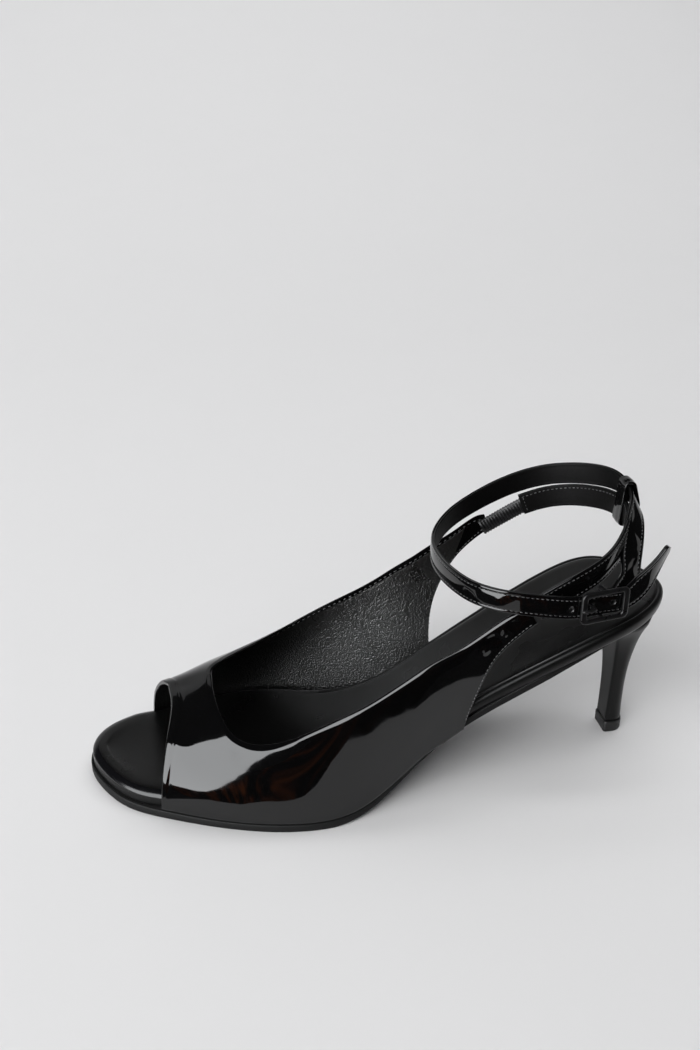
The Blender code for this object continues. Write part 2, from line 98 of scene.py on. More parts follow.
def addNode(tree, kind, settings=None, sockets=None):  # a (node, output) pair links, the rest are values
    made = tree.nodes.new(kind)
    for name, value in (settings or {}).items():
        setattr(made, name, value)
    for name, value in (sockets or {}).items():
        if isinstance(value, tuple) and isinstance(value[0], bpy.types.Node):
            tree.links.new(value[0].outputs[value[1]], made.inputs[name])
        else:
            made.inputs[name].default_value = value
    return made


def colour(code):  # sRGB hex to linear
    parts = [int(code[i:i + 2], 16) / 255 for i in (1, 3, 5)]
    return tuple(c / 12.92 if c <= 0.04045 else ((c + 0.055) / 1.055) ** 2.4 for c in parts) + (1.0,)


def meshPiece(name, points, faces, materials, kinds=None, merged=False):
    mesh = bpy.data.meshes.new(name)
    mesh.from_pydata([tuple(p) for p in (np.asarray(points, float) - shoeMiddle) * mm], [], faces)
    for material in materials:
        mesh.materials.append(material)
    if kinds is not None:
        mesh.polygons.foreach_set("material_index", np.asarray(kinds, np.int32))
    work = bmesh.new()
    work.from_mesh(mesh)
    if merged:
        bmesh.ops.remove_doubles(work, verts=work.verts, dist=1e-6)
    bmesh.ops.recalc_face_normals(work, faces=work.faces)
    work.to_mesh(mesh)
    work.free()
    mesh.shade_smooth()
    piece = bpy.data.objects.new(name, mesh)
    scene.collection.objects.link(piece)
    return piece


def ringFaces(rings, around):  # quads between closed rings of the same count, laid one after another
    faces = []
    for a in range(0, (rings - 1) * around, around):
        for i in range(around):
            j = (i + 1) % around
            faces.append((a + i, a + j, a + around + j, a + around + i))
    return faces


def tube(rings, capped=True):  # points and faces of a loft through rings
    rings = np.asarray(rings, float)
    count, around = rings.shape[:2]
    faces = ringFaces(count, around)
    if capped:
        faces += [tuple(range(around)), tuple((count - 1) * around + i for i in range(around))]
    return rings.reshape(-1, 3), faces


def handOver(piece, slot, *nodes):
    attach(piece, "root")
    if nodes:
        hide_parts(*nodes)
    return piece


# Finishes

def newFinish(name, base, rough, ior=1.5, spec=0.5):
    material = bpy.data.materials.new(name)
    material.use_nodes = True
    shader = material.node_tree.nodes["Principled BSDF"]
    values = {"Base Color": colour(base), "Roughness": rough, "IOR": ior, "Specular IOR Level": spec}
    for socket, value in values.items():
        shader.inputs[socket].default_value = value
    return material, material.node_tree, shader


def feed(tree, shader, sources):
    for socket, (made, output) in sources.items():
        tree.links.new(made.outputs[output], shader.inputs[socket])


def shadeBy(tree, shader, tone, colours, normal=None, gloss=None, roughs=None, socket="Base Color"):
    # what a finish ends in: colour by one pattern, roughness by another, and the last bump
    tint = addNode(tree, "ShaderNodeMix", {"data_type": "RGBA"},
                   {0: tone, 6: colour(colours[0]), 7: colour(colours[1])})
    feed(tree, shader, {socket: (tint, 2)})
    if gloss:
        dull = addNode(tree, "ShaderNodeMapRange", None, {"Value": gloss, "From Min": 0.3, "From Max": 0.7,
                                                          "To Min": roughs[0], "To Max": roughs[1]})
        feed(tree, shader, {"Roughness": (dull, "Result")})
    if normal:
        feed(tree, shader, {"Normal": (normal, "Normal")})


def patentFinish(name, base, waveMm, waveDepth):
    # Split leather under a cast polyurethane film: black, mirror-like, a slow ripple of the hide below it
    material, tree, shader = newFinish(name, base, 0.045)
    where = (addNode(tree, "ShaderNodeTexCoord"), "Object")
    slow = addNode(tree, "ShaderNodeTexNoise", None,
                   {"Vector": where, "Scale": 1 / (waveMm * mm), "Detail": 1.5, "Roughness": 0.4})
    peel = addNode(tree, "ShaderNodeTexNoise", None, {"Vector": where, "Scale": 1 / (1.6 * mm)})
    dust = addNode(tree, "ShaderNodeTexNoise", None,
                   {"Vector": where, "Scale": 1 / (14 * mm), "Detail": 4.0, "Roughness": 0.6})
    wavy = addNode(tree, "ShaderNodeBump", None,
                   {"Height": (slow, "Fac"), "Strength": 0.5, "Distance": waveDepth * mm})
    skin = addNode(tree, "ShaderNodeBump", None, {"Height": (peel, "Fac"), "Strength": 0.12,
                                                  "Distance": 0.012 * mm, "Normal": (wavy, "Normal")})
    shadeBy(tree, shader, (dust, "Fac"), (base, "#070708"), skin, (dust, "Fac"), (0.03, 0.075))
    return material


def grainFinish(name, base, light, rough, grainMm, depth, spec=0.5, ior=1.47):
    # Corrected-grain leather, plated and sprayed: small pebbles with fine valleys; the colour paints a low
    # sheen on the pebbles' tops and painted shade in the valleys
    material, tree, shader = newFinish(name, base, rough, ior, spec)
    where = (addNode(tree, "ShaderNodeTexCoord"), "Object")
    bent = addNode(tree, "ShaderNodeTexNoise", None, {"Vector": where, "Scale": 1 / (2.2 * mm)})
    pull = addNode(tree, "ShaderNodeVectorMath", {"operation": "SCALE"},
                   {0: (bent, "Color"), "Scale": 0.5 * mm})
    moved = addNode(tree, "ShaderNodeVectorMath", {"operation": "ADD"}, {0: where, 1: (pull, "Vector")})
    pebble = addNode(tree, "ShaderNodeTexVoronoi", {"feature": "SMOOTH_F1"},
                     {"Vector": (moved, "Vector"), "Scale": 1 / (grainMm * mm), "Smoothness": 0.6})
    fine = addNode(tree, "ShaderNodeTexNoise", None,
                   {"Vector": where, "Scale": 1 / (0.45 * grainMm * mm), "Detail": 3.0})
    patch = addNode(tree, "ShaderNodeTexNoise", None,
                    {"Vector": where, "Scale": 1 / (22 * mm), "Detail": 3.0})
    low = addNode(tree, "ShaderNodeBump", None,
                  {"Height": (pebble, "Distance"), "Strength": 0.6, "Distance": -depth * mm})
    top = addNode(tree, "ShaderNodeBump", None, {"Height": (fine, "Fac"), "Strength": 0.35,
                                                 "Distance": 0.5 * depth * mm, "Normal": (low, "Normal")})
    # painted sheen and shade: the lighter colour on each pebble's top, the base colour in the valleys between
    # them
    shadeBy(tree, shader, (pebble, "Distance"), (light, base), top,
            (patch, "Fac"), (rough - 0.06, rough + 0.06))
    return material


def rubberFinish(name, base, light, rough, spec=0.5):
    # Moulded thermoplastic rubber: spark texture, coarser than real so that it shows, greyer where buffed
    material, tree, shader = newFinish(name, base, rough, spec=spec)
    where = (addNode(tree, "ShaderNodeTexCoord"), "Object")
    grit = addNode(tree, "ShaderNodeTexNoise", None,
                   {"Vector": where, "Scale": 1 / (0.5 * mm), "Detail": 3.0})
    lying = addNode(tree, "ShaderNodeMapping", None, {"Vector": where, "Scale": (1, 1, 3)})
    scuff = addNode(tree, "ShaderNodeTexNoise", None,
                    {"Vector": (lying, "Vector"), "Scale": 1 / (9 * mm), "Detail": 4.0, "Roughness": 0.65})
    spark = addNode(tree, "ShaderNodeBump", None,
                    {"Height": (grit, "Fac"), "Strength": 0.3, "Distance": 0.03 * mm})
    shadeBy(tree, shader, (scuff, "Fac"), (base, light), spark, (scuff, "Fac"), (rough - 0.08, rough + 0.1))
    return material


def threadFinish(name, base, dark):
    # Bonded polyester thread: twisted plies, coarser than real so that they show, waxed; the plies' tops are
    # painted lighter as sheen and the grooves between them darker as shade
    material, tree, shader = newFinish(name, base, 0.34, 1.53)
    where = (addNode(tree, "ShaderNodeTexCoord"), "Object")
    ply = addNode(tree, "ShaderNodeTexWave", {"bands_direction": "DIAGONAL"},
                  {"Vector": where, "Scale": 1 / (2.2 * mm), "Distortion": 0.6})
    twist = addNode(tree, "ShaderNodeBump", None,
                    {"Height": (ply, "Fac"), "Strength": 0.5, "Distance": 0.06 * mm})
    # painted sheen and shade: the base colour on the plies' tops, the dark colour in the grooves
    shadeBy(tree, shader, (ply, "Fac"), (dark, base), twist)
    return material


def lacquerFinish(name, base, rough):
    # Die-cast zinc alloy under black stoving enamel: dark, satin, with a fine orange peel
    material, tree, shader = newFinish(name, base, rough)
    where = (addNode(tree, "ShaderNodeTexCoord"), "Object")
    flow = addNode(tree, "ShaderNodeTexNoise", None, {"Vector": where, "Scale": 1 / (3.5 * mm)})
    speck = addNode(tree, "ShaderNodeTexNoise", None,
                    {"Vector": where, "Scale": 1 / (0.6 * mm), "Detail": 3.0})
    skin = addNode(tree, "ShaderNodeBump", None,
                   {"Height": (speck, "Fac"), "Strength": 0.15, "Distance": 0.02 * mm})
    shadeBy(tree, shader, (speck, "Fac"), (base, "#121213"), skin,
            (flow, "Fac"), (rough - 0.08, rough + 0.06))
    return material


# the lining's grain is drawn a little coarser than real, so that it shows
patentLeather = patentFinish("patent_leather", "#040404", 11, 0.12)
strapPatent = patentFinish("strap_patent_leather", "#050505", 7, 0.09)
liningLeather = grainFinish("lining_leather", "#040403", "#0b0b0a", 0.32, 0.65, 0.35, 0.68, 1.75)
strapLining = grainFinish("strap_lining_leather", "#040404", "#0a0a0a", 0.5, 0.7, 0.08, 0.1)
insoleLeather = grainFinish("insole_leather", "#050505", "#090909", 0.3, 0.6, 0.02, 0.5)
rimLeather = grainFinish("insole_rim_leather", "#08080a", "#0d0d0f", 0.17, 0.6, 0.006)
heelCover = grainFinish("heel_cover_leather", "#060606", "#0a0a0a", 0.36, 0.55, 0.012, 0.22)
edgeInk = rubberFinish("edge_ink", "#0c0c0c", "#161616", 0.4)
soleRubber = rubberFinish("sole_rubber", "#050505", "#0a0a0a", 0.6, 0.25)
tipRubber = rubberFinish("tip_rubber", "#060606", "#0d0d0d", 0.5)
# the thread is black; its grey base colour is painted sheen, so that its glints show
blackThread = threadFinish("black_thread", "#585859", "#202021")
# the webbing is black; the yarn's grey is painted sheen on the ribs, set against the black core
elasticYarn = threadFinish("elastic_yarn", "#2c2c2d", "#0c0c0d")
elasticCore = threadFinish("elastic_core", "#060606", "#030303")
buckleEnamel = lacquerFinish("buckle_enamel", "#070708", 0.34)
print("finishes made")


# Sole and last of the shoe

last = {
    "insoleThick": 6.0, "outsoleThick": 2.9, "gap": 0.3,
    "toeSpring": (0.7, -182, 25),     # lift, where it starts, its run
    "archFrom": -145,                 # in front of this the outsole lies flat
    "ridgeRound": (0.16, -136, -166),  # softer ridge on the inner side, and where that comes in
    "featherDrop": (2.2, -84, -71),   # the quarters reach below the insole's edge, from x to x
    # x, outer edge, inner edge, footbed height
    "sole": ((-207.3, 7.3, 7.3, 11.2), (-203, -6.3, 20.6, 10.7), (-194, -18.2, 28.6, 9.9),
             (-180, -26.8, 34.8, 9.4), (-158, -36.4, 41, 9.2), (-132, -42.8, 40.6, 9.2),
             (-110, -40.7, 34.5, 10.2), (-92, -32.5, 29.8, 16.4), (-72, -27.5, 27.5, 30.3),
             (-48, -27.7, 29.2, 44.8), (-20, -29.2, 31.6, 59.5), (0, -26.4, 29.2, 66.6),
             (12, -17.6, 20.6, 67.3), (21, 1.6, 1.6, 67.2)),
    # x, ridge y, ridge z, squareness outer and inner, flare outer and inner
    "section": ((-186, 9, 33.2, 3.2, 1.36, 0, 0), (-176, 9, 34.9, 3.2, 1.36, 0, 0),
                (-158, 5, 40.8, 2.7, 1.75, 0, 0), (-145, 2.5, 43, 2.5, 2.3, -2, 2),
                (-132, 1.5, 50, 2.5, 2.5, -4, 6), (-110, 1, 75, 2.7, 2.7, -5, 12.7),
                (-81, 1, 110, 2.7, 2.7, 10.5, 19.6), (-60, 1, 125, 2.7, 2.7, 12.9, 22.8),
                (-40, 1, 140, 2.7, 2.7, 13.8, 24)),
    # x, clearance of the insole's outer side, its inner side, and the outsole
    "inset": ((-207.3, 1, 1, 0), (-190, 1.3, 1.3, 0), (-186, 1.6, 2.2, 0), (-182, 2.1, 3.3, 0),
              (-160, 2.4, 3.3, 0), (-140, 2.4, 2.4, 0), (-116, 2.4, 2.4, 0), (-102, 2.3, 2.3, 0.5),
              (-92, 2.3, 2.3, 1.3), (-85, 2.3, 2.3, 2.1), (-60, 2.2, 2.2, 2.5), (-35, 2.2, 2.2, 3.6),
              (-9, 2.2, 2.2, 6.5), (21, 2.2, 2.2, 6.5)),
}
soleRows, insetRows = np.array(last["sole"]), np.array(last["inset"])
toeX, rearX = soleRows[0, 0], soleRows[-1, 0]


def along(x):  # 0 at the toe, 1 at the rear, closer together at both ends
    return np.arccos(np.clip(1 - 2 * (np.asarray(x, float) - toeX) / (rearX - toeX), -1, 1)) / np.pi


def alongX(t):
    return toeX + (rearX - toeX) * (1 - np.cos(np.pi * np.asarray(t, float))) / 2


soleSides = curveThrough(along(soleRows[:, 0]), soleRows[:, 1:3])
footbed = curveThrough(soleRows[:, 0], soleRows[:, 3])
lastSection = curveOf(last["section"])


def insoleBottom(x):
    return footbed(x) - last["insoleThick"]


def outsoleBottom(x):
    x = np.asarray(x, float)
    lift, start, run = last["toeSpring"]
    spring = lift * np.clip((start - x) / run, 0, 1) ** 1.6
    arch = np.maximum(0, insoleBottom(x) - last["gap"] - last["outsoleThick"] - 0.12)
    return np.where(x < last["archFrom"], spring, arch)


def soleOutline(half, stop):
    # points round the sole with their outward directions: toe, outer side, rear, inner side
    j = np.concatenate([np.arange(half + 1), np.arange(half - 1, 0, -1)])
    side = np.concatenate([np.zeros(half + 1, int), np.ones(half - 1, int)])
    t = stop * j / half
    pick = np.arange(len(t))
    y = soleSides(t)[pick, side]
    before, after = np.clip(t - 1e-3, 0, 1), np.clip(t + 1e-3, 0, 1)
    go = np.stack([alongX(after) - alongX(before), (soleSides(after) - soleSides(before))[pick, side]], 1)
    out = unit(np.stack([go[:, 1], -go[:, 0]], 1)) * np.where(side == 0, 1, -1)[:, None]
    out[0] = (-1, 0)
    if stop >= 1:
        out[half] = (1, 0)
        y[half] = soleSides(1.0).mean()
    y[0] = soleSides(0.0).mean()
    return np.stack([alongX(t), y], 1), out, side


def soleRing(outline, columns, more, height):
    points, out, side = outline
    clear = [np.interp(points[:, 0], insetRows[:, 0], insetRows[:, k]) for k in columns]
    flat = points - out * (np.choose(side, clear) + more)[:, None]
    return np.column_stack([flat, height(flat[:, 0])])


def soleStack(rings, half, columns, dish=0.0):
    # rings from the underside up; rungs close the underside, a grid with a slight dish the top
    rings = np.asarray(rings)
    around = rings.shape[1]
    faces = ringFaces(len(rings), around)
    for i in range(half):
        rung = [i, i + 1, (around - i - 1) % around, (around - i) % around]
        faces.append(tuple(dict.fromkeys(rung)))
    top = rings[-1]
    base, start = (len(rings) - 1) * around, len(rings) * around
    grid = np.zeros((half + 1, columns + 1), int)
    fresh = []
    for i in range(half + 1):
        left, right = top[i], top[(around - i) % around]
        for k in range(columns + 1):
            if k == 0 or i in (0, half):
                grid[i, k] = base + i
            elif k == columns:
                grid[i, k] = base + (around - i) % around
            else:
                u = k / columns
                point = left + (right - left) * u
                point[2] -= dish * np.sin(np.pi * u) * np.sin(np.pi * i / half) ** 0.5
                grid[i, k] = start + len(fresh)
                fresh.append(point)
    for i in range(half):
        for k in range(columns):
            quad = (grid[i, k], grid[i + 1, k], grid[i + 1, k + 1], grid[i, k + 1])
            faces.append(tuple(dict.fromkeys(int(q) for q in quad)))
    return np.concatenate([rings.reshape(-1, 3), np.array(fresh)]), faces


insole = {
    "half": 170, "columns": 26, "dish": 0.5,
    "toSeat": (-125, -95),   # the toe's rim becomes the seat's rim from x to x
    # up the wrapped side: inset and height at the toe, inset and height at the seat
    "side": ((0.15, 0.0, 1.3, 0.0), (0.0, 0.4, 0.85, 0.7), (0.0, 1.2, 0.45, 1.6), (0.0, 2.1, 0.18, 2.6),
             (0.0, 3.0, 0.04, 3.6)),
    "toeRound": (3.8, 2.2), "seatRound": (1.5, 1.7),   # width and drop of the wrapped rim
    # behind the ball the sock lies in a groove: inset, height over the rim; in front it runs out flat
    "groove": ((1.85, -0.04), (2.1, -0.2), (2.35, -0.55), (2.6, -0.28), (2.9, 0.04), (3.6, 0.12)),
    "toeFlat": (4.2, 4.4, 4.6, 4.8, 5.1, 5.8),
}


def makeInsole():
    thick = last["insoleThick"]
    outline = soleOutline(insole["half"], 1.0)
    rows = list(insole["side"])
    side = len(rows)
    (toeWide, toeDrop), (seatWide, seatDrop) = insole["toeRound"], insole["seatRound"]
    for a in np.linspace(0, np.pi / 2, 10):
        run, fall = 1 - np.cos(a), 1 - np.sin(a)
        rows.append((toeWide * run, thick - toeDrop * fall, seatWide * run, thick - seatDrop * fall))
    rim = len(rows) + 2
    for flat, (inset, up) in zip(insole["toeFlat"], insole["groove"]):
        rows.append((flat, thick, inset, thick + up))
    back = smooth(*insole["toSeat"], outline[0][:, 0])
    rings = []
    for toeInset, toeUp, seatInset, seatUp in rows:
        inset, up = toeInset + (seatInset - toeInset) * back, toeUp + (seatUp - toeUp) * back
        rings.append(soleRing(outline, (1, 2), inset, lambda x: insoleBottom(x) + up))
    points, faces = soleStack(rings, insole["half"], insole["columns"], insole["dish"])
    kinds = []
    for k in range(len(rings) - 1):
        kinds += [2 if k < (rim if b > 0.5 else side) else 1 if k < rim - 5 else 0 for b in back]
    kinds += [2] * insole["half"]
    kinds += [0] * (len(faces) - len(kinds))
    piece = meshPiece("insole_footbed", points, faces, [insoleLeather, rimLeather, heelCover], kinds)
    return handOver(piece, "insole_leather", "insole")


outsole = {
    "half": 150, "columns": 12, "rear": -9.0, "seat": 0.02,   # its top meets the insole, with no gap showing
    # inset, share of the height
    "profile": ((0.4, 0.0), (0.1, 0.08), (0.0, 0.25), (0.0, 0.86), (0.08, 0.96), (0.3, 1.0)),
}


def makeOutsole():
    outline = soleOutline(outsole["half"], float(along(outsole["rear"])))
    rings = []
    for inset, share in outsole["profile"]:
        rings.append(soleRing(outline, (3, 3), inset, lambda x: outsoleBottom(x) + share * (
            insoleBottom(x) - outsole["seat"] - outsoleBottom(x))))
    points, faces = soleStack(rings, outsole["half"], outsole["columns"])
    piece = meshPiece("outsole_unit", points, faces, [soleRubber])
    return handOver(piece, "sole_rubber", "outsole")


makeInsole()
makeOutsole()
print("insole and outsole made")


# Upper: one wall on the last, rounded along its free edges

upper = {
    "wall": 1.5, "cell": 0.95, "rows": 40,
    # rows of points close to the ends, the lower edge and the topline
    "endSteps": (0, 0.1, 0.3, 0.6), "lowSteps": (0, 0.1, 0.3, 0.6, 1.0, 1.4, 1.8),
    "topSteps": (0, 0.06, 0.15, 0.3, 0.5, 0.8, 1.2, 1.6, 1.9, 2.3, 2.9), "narrow": 9.0,
    "edgeRound": (0.9, 0.6), "innerRound": (0.3, 0.25),   # run and fall of the rounded edges
    "featherRound": (1.2, 0.9),   # roll of the lasted edge towards the sole
    # folded topline: station, run and fall of its bevel
    "bevel": ((0, 0.95, 1.12), (2.4, 0.95, 1.12), (3.4, 1.2, 1.2), (5.3, 1.25, 1.2), (6.2, 1.5, 1.15),
              (7, 2.3, 1.12), (7.5, 2.2, 1.0), (8, 2.0, 0.75), (8.5, 1.9, 0.6), (9, 1.9, 0.6),
              (11, 1.9, 0.8), (13, 1.9, 0.9), (16, 1.9, 1.1), (20, 1.3, 1.12), (24, 1.3, 1.12)),
    # station, x, girth; girth runs from 0 at the outer feather edge to 1 at the inner one
    "outerRear": ((0, -42.5, 0.0755), (1, -50.8, 0.068), (2, -57.5, 0.053), (3, -62.3, 0.026), (4, -66.6, 0)),
    "openToe": ((10, -181, 0), (10.8, -178.1, 0.211), (11.3, -176.1, 0.338), (11.75, -174.6, 0.46),
                (12.1, -176.2, 0.53), (12.5, -178.1, 0.61), (13, -180.4, 0.71), (13.5, -182, 0.82),
                (14, -183, 1)),
    "innerRear": ((20, -67.2, 1), (21, -66.8, 0.974), (22, -63, 0.944), (23, -54, 0.919), (24, -41, 0.915)),
    "topline": ((0, -47.4, 0.110), (1, -55.6, 0.109), (2, -64.2, 0.106), (3, -70.6, 0.1062),
                (4, -77.2, 0.1105), (6, -103.6, 0.139), (8, -129, 0.205), (9, -143.7, 0.231),
                (10, -153, 0.277), (11, -157.6, 0.386), (12, -158.5, 0.5), (13, -155.4, 0.56),
                (14, -147.5, 0.64), (15, -137, 0.72), (16, -125, 0.778), (18, -95, 0.857),
                (20, -69.5, 0.874), (22, -55.5, 0.88), (23.3, -46.8, 0.8828), (24, -43.3, 0.8895)),
    "turnedBand": 3.0, "turnedProud": 0.2, "turnedDip": 0.06,   # folded edge round the open toe
    "liningStart": 2.9, "liningStep": 0.14, "rearTurn": 2.3, "innerTab": 22.7,
    "stitchIn": 2.2, "rearStitchIn": 1.5, "stitchPitch": 2.4, "rearPitch": 1.7,
    # creases: station, mm from the topline, half length, half width, depth (+ is a ridge), slant
    "creases": ((8.7, 10, 16, 10, 0.7, 0.3), (10.6, 20, 5, 9, 0.5, 0.2), (7.5, 5, 12, 10, -0.35, 0.0),
                (11.3, 13.5, 5, 1.6, -0.05, 0.15), (11.6, 14.0, 5, 1.4, 0.04, 0.05),
                (11.9, 13.0, 6, 1.6, -0.05, -0.1), (12.3, 14.0, 5, 1.5, 0.04, -0.2),
                (1.6, 3.2, 2.4, 1.5, -0.5, 0.5), (1.1, 4.2, 2.2, 1.5, 0.55, -0.3),
                (0.7, 2.8, 2.0, 1.4, -0.4, 0.2), (2.0, 6.4, 1.5, 1.5, 0.5, 0.0)),
    "ripples": (0.03, 0.010, 0.008), "pleat": 0.02,   # heights of the hide's waves and of the lasting pleats
}
corners = (0, 4, 10, 14, 20, 24)   # stations where the lower edge changes: tab, sole, toe, toe, sole, tab
outerRear, openToe, innerRear, topline = (curveOf(upper[key])
                                          for key in ("outerRear", "openToe", "innerRear", "topline"))


def feather(x):
    drop, start, end = last["featherDrop"]
    return insoleBottom(x) - drop * smooth(start, end, x)


def onLast(x, girth):
    ridgeY, ridgeZ, outerSquare, innerSquare, outerFlare, innerFlare = np.moveaxis(lastSection(x), -1, 0)
    outer, inner = np.moveaxis(soleSides(along(x)), -1, 0)
    c, s = np.cos(np.pi * girth), np.maximum(np.sin(np.pi * girth), 0)
    square = np.where(c > 0, outerSquare, innerSquare)
    rise, reach = s ** (2 / square), np.abs(c) ** (2 / square)
    most, start, end = last["ridgeRound"]
    soft = np.where(c < 0, most * smooth(start, end, x), 0)
    reach = np.sqrt(np.maximum(((np.hypot(1, soft) - soft) * reach + soft) ** 2 - soft ** 2, 0))
    edge = np.where(c > 0, outer + 0.1 - outerFlare * rise, inner - 0.1 + innerFlare * rise)
    low = feather(x)
    return np.stack([x, ridgeY + (edge - ridgeY) * reach, low + (ridgeZ - low) * rise], -1)


def lowerEdge(s):
    outerX = np.interp(s, corners[1:3], (upper["outerRear"][-1][1], upper["openToe"][0][1]))
    innerX = np.interp(s, corners[3:5], (upper["openToe"][-1][1], upper["innerRear"][0][1]))
    onOuter, onInner = np.stack([outerX, 0 * s], -1), np.stack([innerX, 0 * s + 1], -1)
    runs = [outerRear(s), onOuter, openToe(s), onInner, innerRear(s)]
    return np.choose(np.searchsorted(corners[1:5], s)[..., None], runs)


def upperPoint(s, across):
    low, high = lowerEdge(s), topline(s)
    flat = low + (high - low) * across[..., None]
    return onLast(flat[..., 0], np.clip(flat[..., 1], 0, 1))


def upperGrid():
    stations = []
    endSteps = np.array(upper["endSteps"])
    for a, b in zip(corners, corners[1:]):
        fine = np.linspace(a, b, 1500)
        step = sum(np.linalg.norm(np.diff(upperPoint(fine, np.full(1500, k)), axis=0), axis=1)
                   for k in (0, 0.5, 1)) / 3
        way = np.concatenate([[0], np.cumsum(step)])
        marks = np.linspace(0, way[-1], int(np.ceil(way[-1] / upper["cell"])) + 1)
        if a == corners[0]:
            marks = np.concatenate([endSteps, marks[1:]])
        if b == corners[-1]:
            marks = np.concatenate([marks[:-1], way[-1] - endSteps[::-1]])
        stations.append(np.interp(marks, way, fine)[:None if b == corners[-1] else -1])
    stations = np.concatenate(stations)
    lowSteps, topSteps = np.array(upper["lowSteps"]), np.array(upper["topSteps"])
    fine = np.linspace(0, 1, 301)
    lines = upperPoint(np.repeat(stations[:, None], 301, 1), np.repeat(fine[None], len(stations), 0))
    ways = np.array([wayAlong(line) for line in lines])
    across, mark = [], []
    for way in ways:
        share = min(1.0, way[-1] / upper["narrow"])  # the narrow rear ends keep their order of rows
        low, top = lowSteps * share, way[-1] - topSteps[::-1] * share
        middle = np.linspace(low[-1], top[0], upper["rows"] + 2)[1:-1]
        marks = np.concatenate([low, middle, top])
        across.append(np.interp(marks, way, fine))
        mark.append(marks)
    return stations, np.array(across), np.array(mark), ways[:, -1:]


def eased(distance, size):  # how far a rounded edge falls back at a distance from it
    run, fall = size
    return fall * (1 - np.sqrt(1 - np.clip(1 - distance / run, 0, 1) ** 2))


def between(s, startLow, startHigh, endLow, endHigh):
    return smooth(startLow, startHigh, s) * (1 - smooth(endLow, endHigh, s))


